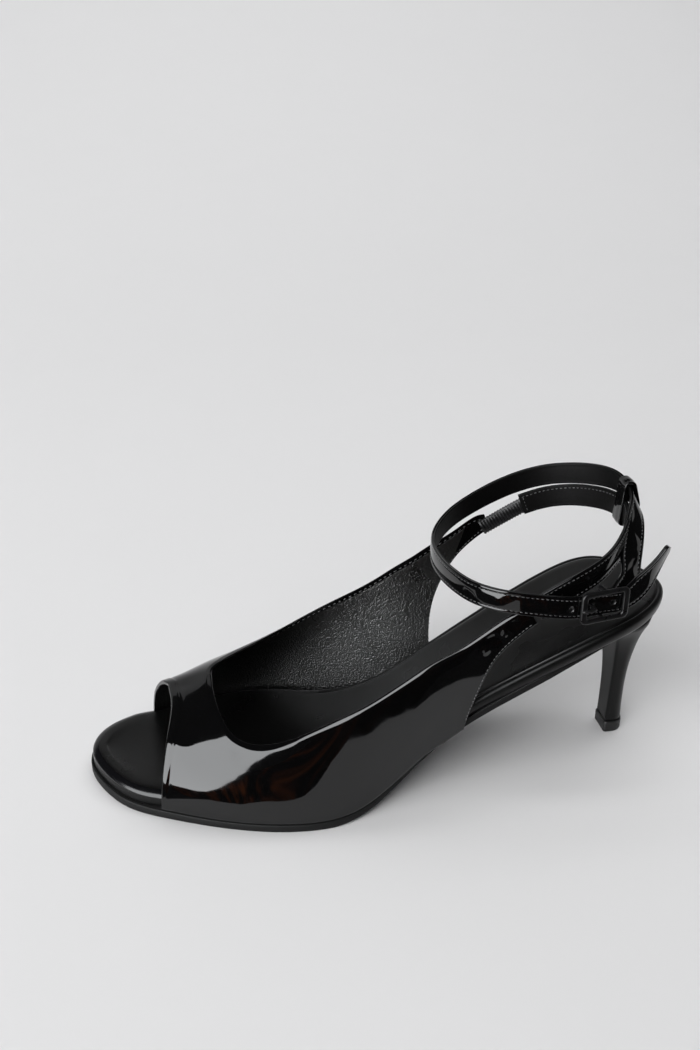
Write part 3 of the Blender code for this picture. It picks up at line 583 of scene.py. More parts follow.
def makeUpper():
    stations, across, fromLow, length = upperGrid()
    tall, wide = across.shape
    fromTop = length - fromLow
    s = np.repeat(stations[:, None], wide, 1)
    face = upperPoint(s, across)
    normal = unit(np.cross(np.gradient(face, axis=1), np.gradient(face, axis=0)))
    way = wayAlong(face[:, wide // 2])
    run = way[:, None] + 0 * fromLow
    fromEnd = np.minimum(run, way[-1] - run)
    onSole = between(s, 3.9, 4.1, 9.9, 10.05) + between(s, 13.95, 14.1, 19.9, 20.1)
    toeEdge = between(s, 9.9, 10.3, 13.7, 14.05)
    atRear = 1 - between(s, 3.8, 4, 20, 20.2)

    # rounded edges of both faces
    mark, bevelRun, bevelFall = np.array(upper["bevel"]).T
    u = np.clip(1 - fromTop / np.interp(s, mark, bevelRun), 0, 1)
    slope, lip = 0.84 * u * u / (u + 0.12), 1 - np.sqrt(1 - np.clip(4 * u - 3, 0, 1) ** 2)
    fall = np.interp(s, mark, bevelFall) * (slope + 0.25 * lip)
    fallIn = eased(fromTop, upper["innerRound"])
    fall, fallIn = (np.maximum(most, np.maximum(eased(fromEnd, size), eased(fromLow, size) * (1 - onSole)))
                    for most, size in ((fall, upper["edgeRound"]), (fallIn, upper["innerRound"])))
    tuck = eased(fromLow, upper["featherRound"]) * onSole

    # what is folded, stretched and creased on the outer face
    band = upper["turnedBand"]
    lift = upper["turnedProud"] * (1 - smooth(band, band + 1.1, fromLow)) * toeEdge
    lift -= upper["turnedDip"] * np.exp(-((fromLow - band - 1.5) / 0.9) ** 2) * toeEdge
    for station, down, halfLength, halfWidth, depth, slant in upper["creases"]:
        du, dv = run - np.interp(station, stations, way), fromTop - down
        a, b = du * np.cos(slant) + dv * np.sin(slant), dv * np.cos(slant) - du * np.sin(slant)
        lift += depth * np.exp(-(a / halfWidth) ** 2 - (b / halfLength) ** 2) * smooth(0.9, 3.0, fromTop)
    calm = smooth(1.5, 6, fromTop) * smooth(0.5, 4, fromLow)
    slow, cross, down = upper["ripples"]
    lift += calm * (slow * np.sin(run / 5.3 + 0.7 * np.sin(fromTop / 6.1)) * np.sin(fromTop / 7.7 + 1.1)
                    + cross * np.sin(run / 2.9 + fromTop / 3.7 + 0.6)
                    + down * np.sin(fromTop / 2.3 - run / 6.1))
    pleat = np.exp(-(fromLow / 3.2) ** 2) * onSole * smooth(-100, -125, face[..., 0])
    lift += upper["pleat"] * pleat * np.sin(run / 0.52 + 1.3 * np.sin(run / 3.1))

    # the lining starts with a step below the turned edge
    start, turn = upper["liningStart"], upper["rearTurn"]
    step = upper["liningStep"] * np.maximum(1 - smooth(start, start + 0.15, fromTop),
                                            atRear * (1 - smooth(turn, turn + 0.3, fromLow)))
    outer = face + normal * (lift - fall - tuck)[..., None]
    inner = face - normal * (upper["wall"] - np.maximum(step, fallIn))[..., None]
    points = np.concatenate([outer.reshape(-1, 3), inner.reshape(-1, 3)])
    back = wide * tall
    cells = [i * wide + j for i in range(tall - 1) for j in range(wide - 1)]
    faces = [(a + 1, a + wide + 1, a + wide, a) for a in cells]
    faces += [(back + a, back + a + wide, back + a + wide + 1, back + a + 1) for a in cells]
    rear = (s < corners[1]) | (s > corners[4])
    turned = (fromTop < start + 0.3) | (rear & (fromLow < turn)) | (s > upper["innerTab"])
    rim = [i * wide for i in range(tall)] + [(tall - 1) * wide + j for j in range(1, wide)]
    rim += [i * wide + wide - 1 for i in range(tall - 2, -1, -1)] + list(range(wide - 2, 0, -1))
    faces += [(a, b, back + b, back + a) for a, b in zip(rim, rim[1:] + rim[:1])]
    kinds = [0] * len(cells) + list(np.where(turned, 0, 1)[:-1, :-1].ravel()) + [0] * len(rim)
    piece = meshPiece("upper_shell", points, faces, [patentLeather, liningLeather], kinds)
    handOver(piece, "patent_leather", "upper")

    # seams for the thread: inside along the topline, on both faces along the two rear edges
    def lineAt(grid, outward, distance, want, first, final):
        spots, outs = [], []
        for i in np.flatnonzero((stations >= first) & (stations <= final)):
            order = np.argsort(distance[i])
            for rows, source in ((spots, grid), (outs, normal)):
                rows.append([np.interp(want, distance[i][order], source[i, order, k]) for k in range(3)])
        return np.array(spots), outward * np.array(outs)
    top = [lineAt(inner, -1, fromTop, upper["stitchIn"], 0.15, 23.85)]
    rears = [lineAt(grid, outward, fromLow, upper["rearStitchIn"], first, final)
             for first, final in ((0.1, 3.9), (20.1, 23.9)) for grid, outward in ((outer, 1), (inner, -1))]
    return top, rears


topSeams, rearSeams = makeUpper()
print("upper made")


# Straps: a swept band, patent outside, lined inside, inked along its edges

straps = {
    "width": 8.6, "slingWidth": 9.0, "thick": 1.6, "step": 0.8, "tip": 1.6, "edge": 0.42, "crown": 0.12,
    "seamIn": 1.25, "seamDepth": 0.16, "stitchPitch": 1.75, "elasticRow": -3,
    "layer": 0.15,   # the patent is the thicker layer; a fine line shows where it meets the lining
    "holePitch": 8.3, "holeRadius": 1.0,
    # x, y, z, roll in degrees
    "sling": ((-44.3, -31.9, 78.9, 0), (-36, -32.6, 84.6, 0), (-27.5, -32, 89, 0), (-18.5, -29, 92.7, 0),
              (-9.2, -19.8, 95.3, 0), (-2, -8, 96.9, 0), (1.3, 3, 97.6, 0), (0.2, 13, 97.2, 0),
              (-4.6, 22, 95.7, 0), (-11, 29, 93.6, 0), (-19.5, 33.2, 91.2, 0), (-28.6, 35.2, 87.8, 0)),
    "chape": ((-14, -32.4, 83.8, -8), (-9.0, -29.2, 85.8, -40), (-6.2, -23.4, 89.6, -58),
              (-3.6, -17.6, 94.8, -60), (0.2, -9.6, 98.9, -50), (3.4, -1.4, 102.4, -30)),
    "roundAnkle": ((3.9, 6.4, 104.2, -18), (2, 14.2, 105.3, -10), (-3.8, 23.4, 104.5, 0),
                   (-10.8, 30.6, 102.5, 0), (-18.4, 35.4, 100.3, 0), (-28.2, 37.6, 97.5, 0),
                   (-38.7, 37.4, 94, 0), (-49.6, 35, 90.1, 0), (-58.8, 30, 87.4, 0), (-66.8, 21, 85.6, 0),
                   (-71.9, 8.5, 85, 0), (-72.4, -4, 85, 0), (-70, -17, 85.5, 0), (-65, -28, 85.9, 0),
                   (-56.8, -35, 85.9, 0), (-47, -37.8, 84.9, 0), (-39, -38.9, 83.9, 0)),
    "tail": ((-7.4, -33.6, 85, -10), (-1, -31, 90.6, 10), (5.4, -28, 98.2, 26)),
}
buckle = {
    "centre": (-21.6, -37, 82.7), "turn": 9.4, "length": 19.0, "height": 12.4, "thick": 1.6, "bar": 0.9,
    "endBar": 2.4, "sideBar": 1.7, "corner": 2.2, "innerCorner": 1.0, "prong": 0.6, "squareness": 0.62,
}
prongHole = -straps["holePitch"] / 2 - 0.25   # along the strap from the buckle's bar


def buckleSpot(a, b, c):  # along the strap, up, outwards
    turn = np.radians(buckle["turn"])
    axes = np.array([(np.cos(turn), np.sin(turn), 0), (0, 0, 1), (np.sin(turn), -np.cos(turn), 0)])
    return np.array(buckle["centre"]) + np.array((a, b, c)) @ axes


def strapFrames(rows, step):  # points along the middle line, with the directions across and out of the strap
    rows = np.array(rows, float)
    chord = wayAlong(rows[:, :3])
    keys = chord / chord[-1] * (len(rows) - 1)
    path = curveThrough(keys, rows)
    k = np.linspace(0, keys[-1], max(12, int(chord[-1] / step)) + 1)
    here = np.clip(k, 0.02, keys[-1] - 0.02)
    go = unit(path(here + 0.02)[:, :3] - path(here - 0.02)[:, :3])
    face = unit(np.cross(go, (0.0, 0.0, 1.0)))
    wide = np.cross(face, go)
    c, s = np.cos(np.radians(path(k)[:, 3:])), np.sin(np.radians(path(k)[:, 3:]))
    return path(k)[:, :3], wide * c + face * s, face * c - wide * s


def strapBand(name, frames, width, tipLength=0.0):
    # section from the lower edge over the outer face, the upper edge and the lined face
    w, t, e = width / 2, straps["thick"] / 2, straps["edge"]
    seam, deep, crown = straps["seamIn"] - w, straps["seamDepth"], straps["crown"]
    half = [(seam - 0.45, t), (seam - 0.2, t - 0.5 * deep), (seam, t - deep), (seam + 0.25, t - 0.4 * deep),
            (seam + 0.7, t), (0.5 * seam, t + 0.7 * crown), (0, t + crown)]
    over = half + [(-a, b) for a, b in half[-2::-1]]
    layer = straps["layer"] * straps["thick"]
    side = [(w - e * (1 - np.sin(a)), t - e * (1 - np.cos(a))) for a in np.radians((20, 45, 70, 90))]
    side += [(w - 0.02, -layer + 0.18), (w - 0.16, -layer), (w - 0.02, -layer - 0.18)]
    side += [(w - e * (1 - np.sin(a)), -t + e * (1 - np.cos(a))) for a in np.radians((90, 60, 25))]
    under = [(a, -t - (b - t) * 0.4) for a, b in over[::-1]]
    outline = np.array(over + side + under + [(-a, b) for a, b in side[::-1]])
    kinds = [0] * (len(over) + 4) + [1] * 4 + [2] * (len(under) + 4) + [1] * 4 + [0] * 4
    centre, wide, face = frames
    squeeze = np.ones(len(centre))
    if tipLength:  # rounded free end
        rest = np.linalg.norm(centre[-1] - centre, axis=1)
        squeeze = np.sqrt(np.maximum(1 - np.clip(1 - rest / tipLength, 0, 1) ** 2.4, 0.03))
    rings = (centre[:, None] + wide[:, None] * (outline[:, 0] * squeeze[:, None])[..., None]
             + face[:, None] * outline[:, 1][None, :, None])
    points, faces = tube(rings)
    kinds = kinds * (len(rings) - 1) + [1, 1]
    return meshPiece(name, points, faces, [strapPatent, edgeInk, strapLining], kinds)


def strapSeams(frames, width, first, final, faces):
    centre, wide, face = frames
    aside, proud = width / 2 - straps["seamIn"], straps["thick"] / 2 - 0.1
    lines = []
    for sign in (-1, 1):
        for outward in faces:
            spots = centre + wide * sign * aside + face * outward * proud
            lines.append((spots[first:final], face[first:final] * outward))
    return lines


def asMesh(piece):  # applies what is on a piece, and leaves a plain mesh at the origin
    bpy.context.view_layer.update()
    ready = bpy.data.meshes.new_from_object(piece.evaluated_get(bpy.context.evaluated_depsgraph_get()))
    piece.modifiers.clear()
    piece.data = ready
    return piece


def makeSling():
    width = straps["slingWidth"]
    frames = strapFrames(straps["sling"], straps["step"])
    handOver(strapBand("sling_strap_band", frames, width), "sling_leather", "sling_strap")
    seams = strapSeams(frames, width, 1, -1, (1, -1))
    del seams[1]  # the lining has only its upper row
    centre, wide, face = (rows[straps["elasticRow"]] for rows in frames)
    reach = np.linspace(-1, 1, 9)[:, None] * (width / 2 - straps["seamIn"])
    for outward in (1, -1):  # a row across the end that holds the elastic
        spots = centre + wide * reach + face * outward * (straps["thick"] / 2 - 0.05)
        seams.append((spots, np.repeat(face[None] * outward, 9, 0)))
    return seams


def makeAnkleStrap():
    depth = straps["thick"] + last["gap"]
    fold = [tuple(buckleSpot(a, 0, -depth)) + (0,) for a in (1.4, 4.5)]
    through = [tuple(buckleSpot(a, 0, 0)) + (0,) for a in (-9, 0, 9)]
    route = fold + list(straps["chape"]) + list(straps["roundAnkle"]) + through + list(straps["tail"])
    frames = strapFrames(route, straps["step"])
    piece = strapBand("ankle_strap_band", frames, straps["width"], straps["tip"])
    punches = []
    r = straps["holeRadius"]
    for k in (-1, 0, 1):
        middle = prongHole + k * straps["holePitch"]
        ring = [[buckleSpot(middle + r * np.cos(a), r * np.sin(a), level)
                 for a in np.linspace(0, 2 * np.pi, 25)[:-1]] for level in (-1.6, 1.6)]
        punch = meshPiece(f"punch_{k + 1}", *tube(ring), [edgeInk])
        cut = piece.modifiers.new(punch.name, "BOOLEAN")
        cut.operation, cut.solver, cut.object = "DIFFERENCE", "EXACT", punch
        punches.append(punch)
    asMesh(piece)
    for punch in punches:
        bpy.data.objects.remove(punch, do_unlink=True)
    handOver(piece, "strap_leather", "ankle_strap")
    return strapSeams(frames, straps["width"], 6, -7, (1,))


slingSeams = makeSling()
ankleSeams = makeAnkleStrap()
print("straps made")


# Loop at the back of the heel

loop = {
    "width": 6.6, "thick": 1.1, "round": 1.1, "y": 5.7, "edge": 0.3, "count": 90,
    # inside corners, snug round the upright sling and the ankle strap that leans in at the top
    "atSling": ((-1.1, -5.0), (1.1, -5.0)), "atAnkle": ((2.4, -4.4), (-0.2, 4.7), (-2.6, 4.6)),
    # the strip's sewn end fills the wedge between the two straps: depth, foot, top, run
    "wedge": (2.5, 4.3, 2.3, 3.9),
}


def makeLoop():
    slingSpot, ankleSpot = (np.array(straps[key][k])[[0, 2]] for key, k in (("sling", 6), ("roundAnkle", 0)))
    ends = np.array([slingSpot + offset for offset in loop["atSling"]]
                    + [ankleSpot + offset for offset in loop["atAnkle"]])
    ring = []
    for k, corner in enumerate(ends):
        arms = [loop["round"] * unit(end - corner) for end in (ends[k - 1], ends[(k + 1) % len(ends)])]
        for t in np.linspace(0, 1, 7):
            ring.append(corner + (1 - t) ** 2 * arms[0] + t ** 2 * arms[1])
    # even points between the rounded corners
    ring = np.array(ring + ring[:1])
    way = wayAlong(ring)
    inner = sampled(np.linspace(0, way[-1], loop["count"] + 1)[:-1], way, ring)
    go = np.roll(inner, -1, 0) - np.roll(inner, 1, 0)
    out = unit(np.stack([go[:, 1], -go[:, 0]], 1))
    depth, foot, top, run = loop["wedge"]
    facing = (out[:, 0] < -0.8) & (inner[:, 1] > slingSpot[1] + foot)
    wedge = np.where(facing, depth * np.clip((ankleSpot[1] + top - inner[:, 1]) / run, 0, 1), 0)
    h, t, e = loop["width"] / 2, loop["thick"], loop["edge"]
    crown = [(h, e), (h, t - e), (h - 0.3 * e, t - 0.3 * e), (h - e, t), (h - 2.2 * e, t - 0.05),
             (0.35 * h, t + 0.1)]
    section = [(-h, 0.5 * t), (-h, e), (-h + e, 0.0), (h - e, 0.0)] + crown
    section += [(0, t + 0.14)] + [(-a, b) for a, b in crown[:0:-1]]
    rings = []
    for spot, outward, fill in zip(inner, out, wedge):
        lifts = [(a, b if b > 0.4 * t else b - fill) for a, b in section]
        rings.append([(spot[0] + outward[0] * b, loop["y"] + a, spot[1] + outward[1] * b) for a, b in lifts])
    points, faces = tube(rings + rings[:1], capped=False)
    piece = meshPiece("strap_loop_band", points, faces, [strapPatent], merged=True)
    return handOver(piece, "loop_leather", "strap_loop")


makeLoop()
print("loop made")


# Buckle and prong

def squared(value, power):  # a sine or cosine for a round that is nearly a rectangle
    return np.sign(value) * abs(value) ** power


def roundedRect(width, height, radius):
    spots = []
    for sx, sy, start in ((1, 1, 0), (-1, 1, 90), (-1, -1, 180), (1, -1, 270)):
        for a in np.radians(np.linspace(start, start + 90, 9)):
            spots.append((sx * (width / 2 - radius) + radius * np.cos(a),
                          sy * (height / 2 - radius) + radius * np.sin(a)))
    return np.array(spots)


def barRings(start, end, wide, deep):  # an upright or outward bar between two buckle spots, ends domed
    start, end = np.array(start, float), np.array(end, float)
    side = np.array([1.0, 0, 0])
    up = np.cross(unit(end - start), side)
    rings = []
    for share, size in ((0, 0.55), (0.04, 0.85), (0.1, 1), (0.9, 1), (0.96, 0.85), (1, 0.55)):
        centre = start + (end - start) * share
        ring = []
        for a in np.linspace(0, 2 * np.pi, 17)[:-1]:
            across, out = side * wide * squared(np.cos(a), 0.7), up * deep * squared(np.sin(a), 0.7)
            ring.append(buckleSpot(*(centre + size * (across + out))))
        rings.append(ring)
    return rings


def makeBuckle():
    base = straps["thick"] / 2 + last["gap"]
    t, half, power = buckle["thick"], buckle["height"] / 2, buckle["squareness"]
    outer = roundedRect(buckle["length"], buckle["height"], buckle["corner"])
    inner = roundedRect(buckle["length"] - 2 * buckle["endBar"], buckle["height"] - 2 * buckle["sideBar"],
                        buckle["innerCorner"])
    rings = []
    for middle, reach in zip((outer + inner) / 2, (outer - inner) / 2):
        ring = []
        for a in np.linspace(0, 2 * np.pi, 21)[:-1]:
            flat = middle + reach * squared(np.cos(a), power)
            ring.append(buckleSpot(*flat, base + t / 2 + t / 2 * squared(np.sin(a), power)))
        rings.append(ring)
    points, faces = tube(rings + rings[:1], capped=False)
    low = -base - t
    clear = straps["width"] / 2 + last["gap"]   # two posts beside the strap carry the bar behind it
    bars = [((0, -half + 0.3, (low - base) / 2), (0, half - 0.3, (low - base) / 2), buckle["bar"], t / 2)]
    for sign in (-1, 1):
        y = sign * (clear + half - 0.02) / 2
        bars.append(((0, y, low + 0.1), (0, y, base + t - 0.25), buckle["bar"], (half - 0.02 - clear) / 2))
    for bar in bars:
        more, moreFaces = tube(barRings(*bar))
        faces = faces + [tuple(len(points) + k for k in face) for face in moreFaces]
        points = np.concatenate([points, more])
    piece = meshPiece("buckle_frame", points, faces, [buckleEnamel], merged=True)
    handOver(piece, "buckle_metal", "buckle")

    # the prong lies behind the strap, comes out of a hole and ends on the frame
    r, tip = buckle["prong"], -buckle["length"] / 2
    inside, outside = -base - 0.8, base + t + last["gap"] + r
    # along the strap, outwards, size
    bends = np.array(((-1.3, inside, 0.7), (prongHole + 0.9, inside, 1), (prongHole + 0.15, inside + 0.2, 1),
                      (prongHole, inside + 0.9, 1), (prongHole, outside - 0.9, 1),
                      (prongHole - 0.15, outside - 0.2, 1), (prongHole - 0.9, outside, 1),
                      (tip + 0.3, outside, 0.85), (tip - 0.2, outside, 0.35)))
    rings = []
    for (a, c, size), (ahead, up) in zip(bends, unit(np.gradient(bends[:, :2], axis=0))):
        ring = []
        for q in np.linspace(0, 2 * np.pi, 17)[:-1]:
            aside, over = r * size * np.cos(q), r * size * np.sin(q)
            ring.append(buckleSpot(a - up * aside, over, c + ahead * aside))
        rings.append(ring)
    prong = meshPiece("buckle_prong_pin", *tube(rings), [buckleEnamel])
    return handOver(prong, "prong_metal", "buckle_prong")


makeBuckle()
print("buckle made")


# Heel and its top piece

heel = {
    "levels": 46, "corner": (1.2, 0.2),   # most, share of the half width
    "tip": (0.0, 8.8, 5.3), "top": (-8.3, 14.6, 19.2),   # front, back, half width
    # z, front, back, half width
    "rows": ((5.3, 0.4, 8.4, 4.9), (20, 0.7, 8.2, 5.4), (34, 0.4, 9.2, 6.9), (44, -0.8, 11, 9.4),
             (51, -3, 12.4, 13.2), (56, -5.8, 13.8, 17)),
    "tilt": (46, 58, 0.7),   # the top levels lean with the seat: z to z, share
    # inset and height of the tip's rings
    "tipRows": ((0.45, 0.0), (0.15, 0.12), (0.0, 0.45), (0.0, 1.5), (0.0, 4.3), (0.1, 4.75), (0.4, 5.0)),
}


def heelRing(front, back, half, height):
    most, share = heel["corner"]
    corner = min(most, share * half)
    middle = front + 0.4 * (back - front)
    ring = [(front, y) for y in np.linspace(0, -(half - corner), 6)]
    ring += [(front + corner - corner * np.cos(a), -(half - corner) - corner * np.sin(a))
             for a in np.linspace(0, np.pi / 2, 6)[1:]]
    for a in np.pi * (np.linspace(0, 1, 37) - 0.5):
        ring.append((middle + (back - middle) * np.cos(a), half * np.sin(a)))
    ring += [(x, -y) for x, y in ring[10:0:-1]]
    return [(x, y, float(height(x))) for x, y in ring]


def makeHeel():
    section = curveOf(heel["rows"])
    start, end, share = heel["tilt"]
    rings = []
    for z in np.linspace(heel["rows"][0][0], heel["rows"][-1][0], heel["levels"] + 1):
        lean = float(smooth(start, end, z)) * share
        rings.append(heelRing(*section(z), lambda x: z + lean * (insoleBottom(x) - insoleBottom(5))))
    rings.append(heelRing(*heel["top"], lambda x: insoleBottom(x) - last["gap"]))
    piece = meshPiece("heel_block", *tube(rings), [heelCover])
    handOver(piece, "heel_cover", "heel")
    front, back, half = heel["tip"]
    rings = []
    for ease, z in heel["tipRows"]:
        rings.append(heelRing(front + ease, back - ease, half - ease, lambda x: z))
    tip = meshPiece("heel_tip_lift", *tube(rings), [tipRubber])
    return handOver(tip, "tip_rubber", "heel_tip")


makeHeel()
print("heel made")


# Thread and elastic: small shapes set on points by a node tree

def grainTree(name, segments, rings):
    # one grain on each point, turned by its go and out vectors; with no rings it is a bar
    tree = bpy.data.node_groups.new(name, "GeometryNodeTree")
    tree.interface.new_socket("Geometry", in_out="INPUT", socket_type="NodeSocketGeometry")
    for label in ("Length", "Width", "Height"):
        tree.interface.new_socket(label, in_out="INPUT", socket_type="NodeSocketFloat")
    tree.interface.new_socket("Material", in_out="INPUT", socket_type="NodeSocketMaterial")
    tree.interface.new_socket("Geometry", in_out="OUTPUT", socket_type="NodeSocketGeometry")
    source = addNode(tree, "NodeGroupInput")
    if rings:
        laid = addNode(tree, "GeometryNodeMeshUVSphere", None,
                       {"Segments": segments, "Rings": rings, "Radius": 0.5})
    else:
        upright = addNode(tree, "GeometryNodeMeshCylinder", None,
                          {"Vertices": segments, "Radius": 0.5, "Depth": 1.0})
        laid = addNode(tree, "GeometryNodeTransform", None,
                       {"Geometry": (upright, "Mesh"), "Rotation": (0.0, np.pi / 2, 0.0)})
    size = addNode(tree, "ShaderNodeCombineXYZ", None,
                   {"X": (source, "Length"), "Y": (source, "Width"), "Z": (source, "Height")})
    grain = addNode(tree, "GeometryNodeTransform", None, {"Geometry": (laid, 0), "Scale": (size, "Vector")})
    go = addNode(tree, "GeometryNodeInputNamedAttribute", {"data_type": "FLOAT_VECTOR"}, {"Name": "go"})
    out = addNode(tree, "GeometryNodeInputNamedAttribute", {"data_type": "FLOAT_VECTOR"}, {"Name": "out"})
    turn = addNode(tree, "FunctionNodeAxesToRotation", {"primary_axis": "Z", "secondary_axis": "X"},
                   {"Primary Axis": (out, "Attribute"), "Secondary Axis": (go, "Attribute")})
    placed = addNode(tree, "GeometryNodeInstanceOnPoints", None,
                     {"Points": (source, "Geometry"), "Instance": (grain, "Geometry"),
                      "Rotation": (turn, "Rotation")})
    real = addNode(tree, "GeometryNodeRealizeInstances", None, {"Geometry": (placed, "Instances")})
    soft = addNode(tree, "GeometryNodeSetShadeSmooth", None, {"Geometry": (real, "Geometry")})
    painted = addNode(tree, "GeometryNodeSetMaterial", None,
                      {"Geometry": (soft, "Geometry"), "Material": (source, "Material")})
    addNode(tree, "NodeGroupOutput", None, {"Geometry": (painted, "Geometry")})
    return tree


def grainsOn(name, tree, spots, goes, outs, size, material):
    mesh = bpy.data.meshes.new(name)
    mesh.from_pydata([tuple(p) for p in (spots - shoeMiddle) * mm], [], [])
    for label, vectors in (("go", goes), ("out", outs)):
        held = mesh.attributes.new(label, "FLOAT_VECTOR", "POINT")
        held.data.foreach_set("vector", vectors.astype(np.float32).ravel())
    piece = bpy.data.objects.new(name, mesh)
    scene.collection.objects.link(piece)
    modifier = piece.modifiers.new("grains", "NODES")
    modifier.node_group = tree
    values = {"Length": size[0] * mm, "Width": size[1] * mm, "Height": size[2] * mm, "Material": material}
    for item in tree.interface.items_tree:
        if item.in_out == "INPUT" and item.name in values:
            modifier[item.identifier] = values[item.name]
    return asMesh(piece)


stitchTree = grainTree("stitch_row", 8, 6)
# name, seams, pitch, slot, length, width and height of a stitch
rowsOfThread = (
    ("topline_stitches", topSeams, upper["stitchPitch"], "patent_leather", (1.4, 0.42, 0.26)),
    ("quarter_stitches", rearSeams, upper["rearPitch"], "patent_leather", (1.25, 0.36, 0.3)),
    ("sling_stitches", slingSeams, straps["stitchPitch"], "sling_leather", (1.15, 0.4, 0.32)),
    ("ankle_stitches", ankleSeams, straps["stitchPitch"], "strap_leather", (1.15, 0.4, 0.32)),
)
for name, seams, pitch, slot, size in rowsOfThread:
    spots, goes, outs = [], [], []
    for line, out in seams:
        p, o = evenly(line, pitch, out)
        spots.append(p)
        goes.append(unit(np.gradient(p, axis=0)))
        outs.append(unit(o))
    spots, goes, outs = (np.concatenate(rows) for rows in (spots, goes, outs))
    handOver(grainsOn(name, stitchTree, spots, goes, outs, size, blackThread), slot)

elastic = {
    "width": 6.4, "thick": 1.3, "core": (6.1, 0.74), "edge": 0.1, "step": 0.3,
    "ribPitch": 1.2, "ribShare": 0.72,
    "path": ((-26.4, 34.9, 88.4, 0), (-29.3, 35.3, 86.8, 0), (-35.3, 35.9, 83.3, 0), (-41.3, 36.1, 79.9, 0),
             (-44.6, 36.0, 78.1, 0)),
}


def makeElastic():
    centre, wide, face = strapFrames(elastic["path"], elastic["step"])
    w, t = elastic["core"][0] / 2, elastic["core"][1] / 2
    e = w + elastic["edge"]
    outline = np.array([(-w, t), (0, t), (w, t), (e, 0), (w, -t), (0, -t), (-w, -t), (-e, 0)])
    rings = centre[:, None] + wide[:, None] * outline[None, :, :1] + face[:, None] * outline[None, :, 1:]
    piece = meshPiece("elastic_band", *tube(rings), [elasticCore])
    handOver(piece, "elastic_webbing", "elastic")
    spots, goes, outs = evenly(centre, elastic["ribPitch"], wide, face)
    size = (elastic["width"], elastic["ribPitch"] * elastic["ribShare"], elastic["thick"])
    ribTree = grainTree("elastic_rib", 14, 0)
    ribs = grainsOn("elastic_ribs", ribTree, spots, unit(goes), unit(outs), size, elasticYarn)
    return handOver(ribs, "elastic_webbing")


makeElastic()
print("thread and elastic made")


# Studio, in metres: pale sweep, a tall window light from the front left, a soft top fill, dark surroundings

studio = {
    "floor": "#dcdcdd", "fibre": "#dbdbdc", "ambient": 0.025,
    "front": -3.2, "seenFrom": -0.2, "fade": 0.45, "bend": 0.6, "radius": 2.6, "wall": 4.2, "half": 3.6,
    "farPaper": 12,   # reach of the paper that fades
    "keyPower": 123, "keySize": (2.35, 3.45), "keyAim": (-0.02, 0.0, 0.03),
    "keyFrom": (-50.5, 19, 2.3),   # azimuth, elevation, distance
    # place, aim, size, power
    "topFill": ((0.6, 0.5, 2.4), (0.2, 0.5, 0), (2.4, 2.4), 16.4),
    "wallLight": ((0.4, 0.7, 2.2), (0.4, 1.9, 0.3), (3.0, 0.8), 22.5),
    # what the gloss sees: the table's front edge and rear, the wall's height, half width and height above it
    "table": ((-0.17, -0.03), (-0.094, -0.034), (-0.083, -0.047), (-0.066, -0.055), (-0.05, -0.077),
              (-0.037, -0.091), (-0.028, -0.123), (-0.01, -0.24), (0.008, -0.24), (0.024, -0.148),
              (0.031, -0.105), (0.037, -0.074)),
    "tableRear": 0.25, "seenWall": 2.0, "overWall": (0.6, 0.9),
    "paneGlow": 7.2,   # the window's pane in half sizes of its light
    "pane": ((-1, 0.72), (-0.25, 0.76), (0, 0.95), (0.25, 1.3), (0.8, 1.3), (0.76, 0.63), (0.83, 0.33),
             (0.95, -0.08), (0.9, -0.42), (0.72, -0.79), (0.55, -1.06), (0.42, -1.21), (0.27, -1.29),
             (0.11, -1.24), (-0.05, -1.15), (-1, -1.05)),
    "cardGlow": 0.8, "card": ((2.6, -0.95, 0.5), (2.6, 0.3, 0.5), (2.6, 0.3, 1.8), (2.6, -0.95, 1.8)),
    "boardGlow": 1.6,
    "boards": ((-3.2, -2.7, -2.4), (2.4, -2.7, -2.4), (2.4, -2.7, 0.8), (-3.2, -2.7, 0.8)),
}


def stagePiece(name, points, faces, finish, camera=False, diffuse=False, glossy=False):
    mesh = bpy.data.meshes.new(name)
    mesh.from_pydata(points, [], faces)
    mesh.materials.append(finish)
    laid = bpy.data.objects.new(name, mesh)
    scene.collection.objects.link(laid)
    laid.visible_camera, laid.visible_glossy = camera, glossy
    laid.visible_diffuse = laid.visible_shadow = diffuse
    return mesh


def paperFinishes():
    # Matt seamless paper
    paper, tree, shader = newFinish("seamless_paper", studio["floor"], 0.85, spec=0.2)
    where = (addNode(tree, "ShaderNodeTexCoord"), "Object")
    fibre = addNode(tree, "ShaderNodeTexNoise", None,
                    {"Vector": where, "Scale": 1 / (60 * mm), "Detail": 3.0})
    shadeBy(tree, shader, (fibre, "Fac"), (studio["floor"], studio["fibre"]))
    # The same paper, fading to the backdrop's grey in front of the sweep
    faded, tree, shader = newFinish("faded_paper", studio["floor"], 0.85, spec=0.2)
    where = (addNode(tree, "ShaderNodeTexCoord"), "Object")
    apart = addNode(tree, "ShaderNodeSeparateXYZ", None, {"Vector": where})
    fade = addNode(tree, "ShaderNodeMapRange", {"interpolation_type": "SMOOTHSTEP"},
                   {"Value": (apart, "Y"), "From Min": studio["seenFrom"] - studio["fade"],
                    "From Max": studio["seenFrom"], "To Min": 1.0, "To Max": 0.0})
    grey = addNode(tree, "ShaderNodeEmission", None, {"Color": colour(studio["floor"])})
    both = addNode(tree, "ShaderNodeMixShader", None,
                   {0: (fade, "Result"), 1: (shader, "BSDF"), 2: (grey, "Emission")})
    feed(tree, tree.nodes["Material Output"], {"Surface": (both, "Shader")})
    return paper, faded


def glowFinish(name, tint, strength):  # only its own light is seen
    material, tree, shader = newFinish(name, "#000000", 1.0, spec=0.0)
    shader.inputs["Emission Color"].default_value = colour(tint)
    shader.inputs["Emission Strength"].default_value = strength
    return material


